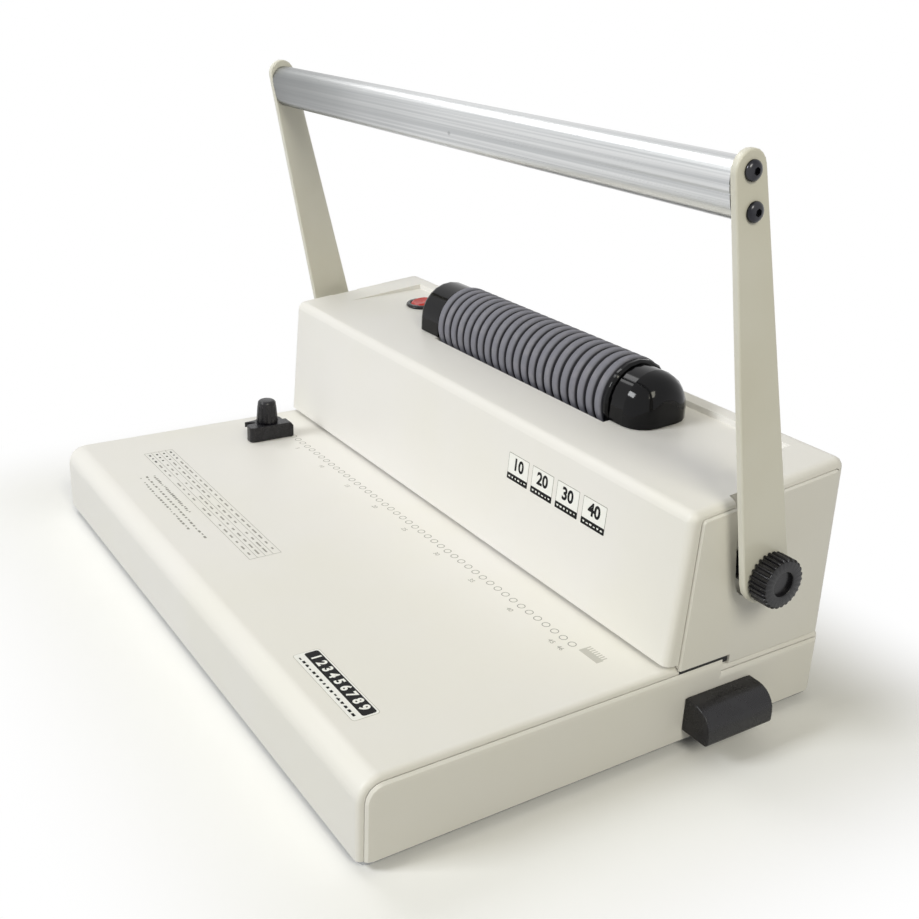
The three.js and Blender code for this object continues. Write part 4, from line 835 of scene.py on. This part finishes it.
# %% Flat panels to print on
def flat_panel(node, outward, right):
    """A matrix whose X runs right along the node's largest flat face and whose Z is outward."""
    polygons = [p for p in merged_mesh(node).polygons if p.normal.dot(outward) > 0.98]
    face = max(polygons, key=lambda p: p.area)
    normal = face.normal.normalized()
    right = (right - normal * right.dot(normal)).normalized()
    up = normal.cross(right)
    flat = Matrix((right, up, normal)).transposed().to_4x4()
    origin = normal * face.center.dot(normal)
    return Matrix.Translation(origin) @ flat


tray_panel = flat_panel("base_tray", Vector((0, 0, 1)), Vector((1, 0, 0)))
front_panel = flat_panel("tower_hood", Vector((0, -1, 0)), Vector((1, 0, 0)))


def on_panel(panel, x_mm, y_mm, lift_mm):
    """The matrix of a spot on a panel, lifted off it."""
    return panel @ Matrix.Translation(Vector((x_mm, y_mm, lift_mm)) * MM)


def height_on_front(z_mm):
    """How far up the leaning front panel a place at this height is, in millimetres."""
    origin, up = front_panel.to_translation(), front_panel.to_3x3().col[1]
    return (z_mm - origin.z / MM) / up.z


print("tray panel height in mm:", round(tray_panel.to_translation().z / MM, 2))

# %% Recipes for plates, rows of bars, rings and strokes
def plate(tree):
    corner = tree.size("Corner")
    outline = tree.node("GeometryNodeCurvePrimitiveQuadrilateral", {}, {
        "Width": tree.size("Width"), "Height": tree.size("Height")})
    rounded = tree.node("GeometryNodeFilletCurve", {"mode": "POLY"}, {
        "Curve": outline, "Radius": corner, "Count": 5})
    area = tree.node("GeometryNodeFillCurve", {}, {"Curve": rounded})
    walls = tree.node("GeometryNodeExtrudeMesh", {}, {
        "Mesh": area, "Offset Scale": tree.size("Thickness"), "Individual": False})
    under = tree.node("GeometryNodeFlipFaces", {}, {"Mesh": area})
    return tree.welded(tree.joined(walls, under))


def in_row(tree, shape):
    """Copies of the shape, one step apart."""
    row = tree.node("GeometryNodeMeshLine", {}, {
        "Count": tree.size("Count"), "Offset": tree.size("Step")})
    return tree.node("GeometryNodeInstanceOnPoints", {}, {"Points": row, "Instance": shape})


def bar_row(tree):
    return in_row(tree, tree.node("GeometryNodeMeshCube", {}, {"Size": tree.size("Bar")}))


def ring_row(tree):
    circle = tree.node("GeometryNodeCurvePrimitiveCircle", {}, {
        "Resolution": 28, "Radius": tree.size("Radius")})
    line = tree.node("GeometryNodeCurvePrimitiveQuadrilateral", {}, {
        "Width": tree.size("Line"), "Height": tree.size("Thickness")})
    return in_row(tree, tree.node("GeometryNodeCurveToMesh", {},
                                  {"Curve": circle, "Profile Curve": line}))


def stroke_rows(tree):
    """Short strokes of uneven length in rows, with gaps, from a fixed seed."""
    seed = tree.size("Seed")
    grid = tree.node("GeometryNodeMeshGrid", {}, {
        "Size X": tree.size("Width"), "Size Y": tree.size("Height"),
        "Vertices X": tree.size("Columns"), "Vertices Y": tree.size("Rows")})
    stroke = tree.node("GeometryNodeMeshCube", {}, {"Size": tree.xyz(
        tree.size("Width") / tree.size("Columns"), tree.size("Line"), tree.size("Thickness"))})
    kept = tree.node("FunctionNodeRandomValue", {"data_type": "BOOLEAN"}, {
        "Probability": tree.size("Filled"), "Seed": seed}, "Value")
    length = tree.node("FunctionNodeRandomValue", {"data_type": "FLOAT"}, {
        "Min": 0.3, "Max": 0.8, "Seed": seed + 1}, "Value")
    return tree.node("GeometryNodeInstanceOnPoints", {}, {
        "Points": grid, "Instance": stroke, "Selection": kept,
        "Scale": tree.xyz(length, 1.0, 1.0)})


plate_recipe = Recipe("plate", plate, Width=0.01, Height=0.01, Corner=0.0, Thickness=0.00002)
bar_recipe = Recipe("bar_row", bar_row, Count=10, Bar=(0.001, 0.001, 0.001),
                    Step=(0.001, 0.0, 0.0))
ring_recipe = Recipe("ring_row", ring_row, Count=46, Step=(0.006, 0.0, 0.0), Radius=0.002,
                     Line=0.0002, Thickness=0.00002)
stroke_recipe = Recipe("stroke_rows", stroke_rows, Width=0.1, Height=0.01, Columns=20, Rows=3,
                       Line=0.0004, Thickness=0.00002, Filled=0.9, Seed=1)


INK_MM = 0.03
LAYER_MM = 0.04


def fixed(piece):
    """The piece stays with the machine's housing."""
    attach(piece, "machine")


def print_plate(name, finish, panel, x, y, width, height, corner=0.0, lift=0.0):
    fixed(plate_recipe.run(
        name, finish, on_panel(panel, x, y, lift), Width=width * MM, Height=height * MM,
        Corner=corner * MM, Thickness=INK_MM * MM))


def print_bars(name, finish, panel, x, y, bar, step, count, lift=0.0):
    fixed(bar_recipe.run(
        name, finish, on_panel(panel, x, y, lift + INK_MM / 2), Count=count,
        Bar=(bar[0] * MM, bar[1] * MM, INK_MM * MM), Step=(step[0] * MM, step[1] * MM, 0.0)))


def print_strokes(name, finish, panel, x, y, width, height, columns, rows, line, filled, seed,
                  lift=0.0):
    fixed(stroke_recipe.run(
        name, finish, on_panel(panel, x, y, lift + INK_MM / 2), Width=width * MM,
        Height=height * MM, Columns=columns, Rows=rows, Line=line * MM, Thickness=INK_MM * MM,
        Filled=filled, Seed=seed))


def print_numbers(name, finish, spots, size_mm, bold=0.0):
    """Numbers as one mesh. Each spot is a number and the matrix of its middle."""
    work = bmesh.new()
    for number, place in spots:
        text = bpy.data.curves.new(f"{name}_text", "FONT")
        text.body = str(number)
        text.size = size_mm * MM
        text.align_x, text.align_y = "CENTER", "CENTER"
        text.extrude = INK_MM * MM / 2
        text.offset = bold * MM
        text.resolution_u = 4
        holder = added(text.name, text)
        graph = bpy.context.evaluated_depsgraph_get()
        mesh = bpy.data.meshes.new_from_object(holder.evaluated_get(graph))
        mesh.transform(place)
        work.from_mesh(mesh)
        bpy.data.objects.remove(holder)
        bpy.data.meshes.remove(mesh)
    mesh = bpy.data.meshes.new(name)
    work.to_mesh(mesh)
    work.free()
    mesh.materials.append(finish)
    fixed(added(name, mesh))


print("printing recipes ready")

# %% Black strips of painted shade under the front of the side covers
# The gap there lies in deep shade, so a thin black strip stands in it at each end as painted
# shade.
SHADE_STRIP_Y_MM = (33.0, 61.0)
SHADE_STRIP_Z_MM = (36.6, 40.25)
SHADE_STRIP_THICKNESS_MM = 0.2
tray_low, tray_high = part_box("base_tray")
for side, sign, tray_end in (("right", 1, tray_high.x), ("left", -1, tray_low.x)):
    middle = Vector((tray_end, sum(SHADE_STRIP_Y_MM) / 2 * MM, sum(SHADE_STRIP_Z_MM) / 2 * MM))
    facing_out = Matrix(((0, 0, sign), (sign, 0, 0), (0, 1, 0))).to_4x4()
    fixed(plate_recipe.run(
        f"throat_seal_{side}", black_rubber, Matrix.Translation(middle) @ facing_out,
        Width=(SHADE_STRIP_Y_MM[1] - SHADE_STRIP_Y_MM[0]) * MM, Height=(SHADE_STRIP_Z_MM[1] - SHADE_STRIP_Z_MM[0]) * MM,
        Corner=0.0, Thickness=SHADE_STRIP_THICKNESS_MM * MM))
print("seals at", round(tray_high.x / MM, 3), "mm")

# %% The row of hole marks with its numbers
HOLES = 46
PITCH_MM = 6.35
MARK_ROW_Y_MM = 5.2
MARK_RADIUS_MM, MARK_LINE_MM = 1.8, 0.42
NUMBER_DROP_MM, NUMBER_SIZE_MM = 6.6, 3.6
first_hole_x = -(HOLES - 1) * PITCH_MM / 2
fixed(ring_recipe.run(
    "hole_marks", grey_ink, on_panel(tray_panel, first_hole_x, MARK_ROW_Y_MM, INK_MM / 2),
    Count=HOLES, Step=(PITCH_MM * MM, 0.0, 0.0), Radius=MARK_RADIUS_MM * MM,
    Line=MARK_LINE_MM * MM, Thickness=INK_MM * MM))
counted = [*range(5, HOLES, 5), HOLES]
print_numbers("hole_numbers", grey_ink, [
    (n, on_panel(tray_panel, first_hole_x + (n - 1) * PITCH_MM, MARK_ROW_Y_MM - NUMBER_DROP_MM,
                 INK_MM / 2)) for n in counted], NUMBER_SIZE_MM)
COMB_MIDDLE_X_MM, COMB_WIDTH_MM = 154.2, 12.4
COMB_FOOT_Y_MM, COMB_FOOT_DEPTH_MM = 6.6, 3.8
COMB_BARS, COMB_BAR_Y_MM, COMB_BAR_MM = 8, 9.8, (0.75, 2.8)
COMB_MARGIN_MM = 0.5
print_plate("comb_foot", pale_ink, tray_panel, COMB_MIDDLE_X_MM, COMB_FOOT_Y_MM, COMB_WIDTH_MM,
            COMB_FOOT_DEPTH_MM)
print_bars("comb_teeth", pale_ink, tray_panel,
           COMB_MIDDLE_X_MM - COMB_WIDTH_MM / 2 + COMB_MARGIN_MM, COMB_BAR_Y_MM, COMB_BAR_MM,
           (COMB_WIDTH_MM / COMB_BARS, 0), COMB_BARS)
print(HOLES, "hole marks, numbered at", counted)

# %% The ruled table on the tray
TABLE_LEFT_MM, TABLE_RIGHT_MM = -149.3, 3.3
TABLE_LOW_MM, TABLE_HIGH_MM = -84.8, -68.0
TABLE_RULE_MM = 0.22
TABLE_COLUMNS, TABLE_ROWS = 18, 4
TABLE_INSIDE = 0.75
HEADS_MIDDLE_MM, HEADS_WIDTH_MM = 9, 10
ENTRIES_SHIFT_MM, ENTRIES_MARGIN_MM = 8, 28
NOTES_LEFT_MM = -116.0
table_width = TABLE_RIGHT_MM - TABLE_LEFT_MM
table_height = TABLE_HIGH_MM - TABLE_LOW_MM
table_x = (TABLE_LEFT_MM + TABLE_RIGHT_MM) / 2
table_y = (TABLE_LOW_MM + TABLE_HIGH_MM) / 2
print_bars("table_rules", grey_ink, tray_panel, table_x, TABLE_LOW_MM,
           (table_width, TABLE_RULE_MM), (0, table_height / TABLE_ROWS), TABLE_ROWS + 1)
print_bars("table_ends", grey_ink, tray_panel, TABLE_LEFT_MM, table_y,
           (TABLE_RULE_MM, table_height), (table_width, 0), 2, LAYER_MM)
print_strokes("table_entries", grey_ink, tray_panel, table_x + ENTRIES_SHIFT_MM, table_y,
              table_width - ENTRIES_MARGIN_MM, table_height * TABLE_INSIDE, TABLE_COLUMNS,
              TABLE_ROWS, line=0.9, filled=0.85, seed=11, lift=LAYER_MM)
print_strokes("table_heads", black_ink, tray_panel, TABLE_LEFT_MM + HEADS_MIDDLE_MM, table_y,
              HEADS_WIDTH_MM, table_height * TABLE_INSIDE, 3, TABLE_ROWS, line=1.0, filled=0.95,
              seed=5, lift=LAYER_MM)
for row, (y, right, line, seed) in enumerate(
        ((-90.6, -62, 1.1, 3), (-94.6, -30, 0.7, 4), (-98.4, -40, 0.7, 8))):
    print_strokes(f"note_row_{row}", grey_ink, tray_panel, (NOTES_LEFT_MM + right) / 2, y,
                  right - NOTES_LEFT_MM, 0.5, columns=24, rows=2, line=line, filled=0.8,
                  seed=seed)
print("table and note rows")

# %% The label on the tray
LABEL_MIDDLE_X_MM, LABEL_MIDDLE_Y_MM = 119.8, -98.4
LABEL_WIDTH_MM, LABEL_HEIGHT_MM = 54.5, 12.6
BORDERS_MM = 0.6
BAND_HEIGHT_MM, BAND_INSET_MM, BAND_ENDS_MM = 6.6, 1.0, 2.4
LABEL_DIGIT_MM, LABEL_BOLD_MM, DIGITS_MARGIN_MM = 6.2, 0.25, 7
STROKES_RISE_MM, STROKES_MARGIN_MM = 2.3, 8
band_y = LABEL_MIDDLE_Y_MM + LABEL_HEIGHT_MM / 2 - BAND_INSET_MM - BAND_HEIGHT_MM / 2
print_plate("label_edge", pale_ink, tray_panel, LABEL_MIDDLE_X_MM, LABEL_MIDDLE_Y_MM,
            LABEL_WIDTH_MM, LABEL_HEIGHT_MM, 1.6)
print_plate("label_face", white_label, tray_panel, LABEL_MIDDLE_X_MM, LABEL_MIDDLE_Y_MM,
            LABEL_WIDTH_MM - BORDERS_MM, LABEL_HEIGHT_MM - BORDERS_MM, 1.4, LAYER_MM)
print_plate("label_band", black_ink, tray_panel, LABEL_MIDDLE_X_MM, band_y,
            LABEL_WIDTH_MM - BAND_ENDS_MM, BAND_HEIGHT_MM, 1.2, 2 * LAYER_MM)
LABEL_NUMBERS = range(1, 10)
number_step = (LABEL_WIDTH_MM - DIGITS_MARGIN_MM) / len(LABEL_NUMBERS)
print_numbers("label_numbers", white_label, [
    (n, on_panel(tray_panel, LABEL_MIDDLE_X_MM + (n - 5) * number_step, band_y,
                 3 * LAYER_MM + INK_MM / 2)) for n in LABEL_NUMBERS],
    LABEL_DIGIT_MM, LABEL_BOLD_MM)
print_strokes("label_strokes", black_ink, tray_panel, LABEL_MIDDLE_X_MM,
              LABEL_MIDDLE_Y_MM - LABEL_HEIGHT_MM / 2 + STROKES_RISE_MM,
              LABEL_WIDTH_MM - STROKES_MARGIN_MM, 0.5, columns=16, rows=2, line=0.7, filled=0.85,
              seed=9, lift=2 * LAYER_MM)
print("label with", len(LABEL_NUMBERS), "numbers")

# %% The four tiles on the tower's front
TILE_NUMBERS = (10, 20, 30, 40)
TILE_FIRST_X_MM, TILE_STEP_MM = 65.2, 19.25
TILE_WIDTH_MM, TILE_HEIGHT_MM = 16.4, 13.4
TILE_MIDDLE_Z_MM = 89.6
TILE_BAR_MM, TILE_MARGIN_MM = 3.2, 4
TILE_DIGIT_MM, TILE_BOLD_MM = 8.4, 0.28
tile_y = height_on_front(TILE_MIDDLE_Z_MM)
bar_y = tile_y - TILE_HEIGHT_MM / 2 + TILE_BAR_MM / 2
for k, number in enumerate(TILE_NUMBERS):
    x = TILE_FIRST_X_MM + k * TILE_STEP_MM
    print_plate(f"tile_edge_{k}", grey_ink, front_panel, x, tile_y, TILE_WIDTH_MM, TILE_HEIGHT_MM,
                0.5)
    print_plate(f"tile_face_{k}", white_label, front_panel, x, tile_y,
                TILE_WIDTH_MM - BORDERS_MM, TILE_HEIGHT_MM - BORDERS_MM, 0.4, LAYER_MM)
    print_plate(f"tile_bar_{k}", black_ink, front_panel, x, bar_y, TILE_WIDTH_MM, TILE_BAR_MM,
                0.4, 2 * LAYER_MM)
    print_strokes(f"tile_strokes_{k}", white_label, front_panel, x, bar_y,
                  TILE_WIDTH_MM - TILE_MARGIN_MM, 0.3, columns=6, rows=2, line=0.5, filled=0.8,
                  seed=20 + k, lift=3 * LAYER_MM)
print_numbers("tile_numbers", black_ink, [
    (number, on_panel(front_panel, TILE_FIRST_X_MM + k * TILE_STEP_MM, tile_y + TILE_BAR_MM / 2,
                      2 * LAYER_MM + INK_MM / 2))
    for k, number in enumerate(TILE_NUMBERS)], TILE_DIGIT_MM, TILE_BOLD_MM)
print("tiles:", TILE_NUMBERS)

# %% [markdown]
# ## Finishes for the pieces that keep their CAD mesh
#
# The inner works and the feet are seen only through gaps. Their solids stay as they are and
# only get a finish.

# %% Finishes by material slot
SLOT_FINISH = {
    "black_rubber": black_rubber, "bare_steel": bare_steel, "zinc_steel": zinc_steel,
    "bronze": bronze, "satin_black": satin_black, "ivory_plastic": ivory_plastic,
}
kept = [entry for entry in frame["record"]["subparts"] if entry["node"] not in stood_for]
for entry in kept:
    mesh = frame["nodes"][entry["node"]].data
    mesh.materials.clear()
    mesh.materials.append(SLOT_FINISH[entry["material_slot"]])
print(len(kept), "nodes keep their mesh")

# %% [markdown]
# ## Floor, light and background
#
# The machine stands on white paper that takes a soft shadow. A hand's width away the camera sees
# the paper as plain white, so it meets the white behind it without a line. For light that
# bounces, the paper is grey, or it would fill up the shade. The key light comes from the front
# left and above, so the tray and the tower's front are bright and the right side is in warm shade.

# %% Floor
FLOOR_HALF = 3.0
floor_mesh = bpy.data.meshes.new("floor")
floor_mesh.from_pydata(
    [(-FLOOR_HALF, -FLOOR_HALF, 0), (FLOOR_HALF, -FLOOR_HALF, 0),
     (FLOOR_HALF, FLOOR_HALF, 0), (-FLOOR_HALF, FLOOR_HALF, 0)], [], [(0, 1, 2, 3)])
floor = added("floor", floor_mesh)


def seen_directly(tree):
    """1 for the camera and for what it sees in a mirror or through glass, 0 for other light."""
    rays = tree.nodes.new("ShaderNodeLightPath")
    seen = 0.0
    for ray in ("Is Camera Ray", "Is Glossy Ray", "Is Transmission Ray"):
        seen = tree.maths("MAXIMUM", Value(tree, rays.outputs[ray]), seen)
    return seen


PAPER_NEAR, PAPER_FAR = 0.0, 0.1
BOUNCED = (0.45, 0.45, 0.43, 1.0)
BLACK, WHITE = (0.0, 0.0, 0.0, 1.0), (1.0, 1.0, 1.0, 1.0)
paper = Finish("white_paper", specular=0.0)
beyond = [
    paper.maths("MAXIMUM", paper.maths("ABSOLUTE", paper.part_of(paper.place, axis)) - half, 0.0)
    for axis, half in ((0, cad_high.x), (1, cad_high.y))]
outside = paper.maths("SQRT", beyond[0] * beyond[0] + beyond[1] * beyond[1])
far = paper.ramp(outside, PAPER_NEAR, PAPER_FAR)
seen = seen_directly(paper)
sheet = paper.blend(paper.noise(400, 1.0), (0.95, 0.95, 0.95, 1), (0.97, 0.97, 0.97, 1))
lit = paper.blend(seen, BOUNCED, sheet)
paper.put(paper.shader.inputs["Emission Color"], paper.blend(far * seen, BLACK, WHITE))
paper.shader.inputs["Emission Strength"].default_value = 1.0
paper.done(paper.blend(far * seen, lit, BLACK),
           paper.noise(80, 1.0) * 0.05 + 0.9, paper.bump(paper.noise(3, 2.0), 0.01, 0.2))
floor_mesh.materials.append(paper.material)
print("floor", 2 * FLOOR_HALF, "m wide")

# %% World
AMBIENT_TINT = (1.0, 0.985, 0.9, 1.0)
AMBIENT_STRENGTH = 0.24
world = bpy.data.worlds.new("studio")
scene.world = world
world.use_nodes = True
sky = Tree(world.node_tree)
ambient = sky.node("ShaderNodeBackground", {}, {
    "Color": AMBIENT_TINT, "Strength": AMBIENT_STRENGTH})
backdrop = sky.node("ShaderNodeBackground", {}, {"Color": WHITE, "Strength": 1.0})
mixed = sky.node("ShaderNodeMixShader", {}, {0: seen_directly(sky), 1: ambient, 2: backdrop})
sky.put(sky.nodes["World Output"].inputs["Surface"], mixed)
print("world strength", AMBIENT_STRENGTH)

# %% Lamps
def lamp(name, place, target, size, power, tint=(1.0, 1.0, 1.0)):
    data = bpy.data.lights.new(name, "AREA")
    data.shape = "RECTANGLE"
    data.size, data.size_y = size
    data.energy = power
    data.color = tint
    aim = Vector(target) - Vector(place)
    added(name, data).matrix_world = (
        Matrix.Translation(place) @ aim.to_track_quat("-Z", "Y").to_matrix().to_4x4())


lamp("key_front", (-0.4, -1.85, 1.3), (0, 0, 0.08), (0.7, 0.5), 26.5, (0.97, 0.99, 1.0))
lamp("left_high", (-1.0, -0.25, 1.25), (0, 0, 0.12), (0.6, 0.5), 4.0)
lamp("side_high", (2.1, -0.5, 1.7), (0, 0, 0.1), (0.9, 0.9), 27.0, (1.0, 0.97, 0.82))
print("three lamps")

# %% [markdown]
# ## Camera
#
# The camera was fitted to the 46 hole marks, which stand 6.35 mm apart. Its place, its three
# axes and its focal length are written here as they came out of the fit.

# %% Camera
PHOTO_SIDE = 919.0
FOCAL_PIXELS = 1182.83
SENSOR_MM = 36.0
CAMERA_PLACE_MM = (485.06, -286.46, 308.55)
RIGHT_AXIS = (0.54131, 0.83988, 0.04003)
DOWN_AXIS = (0.33917, -0.17455, -0.92440)
AHEAD_AXIS = (-0.76939, 0.51396, -0.37934)
camera_data = bpy.data.cameras.new("photo_camera")
camera_data.sensor_width = SENSOR_MM
camera_data.lens = SENSOR_MM * FOCAL_PIXELS / PHOTO_SIDE
camera_data.clip_start = 0.01
camera_data.clip_end = 50.0
camera = added("photo_camera", camera_data)
axes = Matrix((Vector(RIGHT_AXIS), -Vector(DOWN_AXIS), -Vector(AHEAD_AXIS))).transposed()
camera.matrix_world = Matrix.Translation(Vector(CAMERA_PLACE_MM) * MM) @ axes.to_4x4()
scene.camera = camera
scene.view_settings.view_transform = "Standard"
print("lens in mm:", round(camera_data.lens, 2))
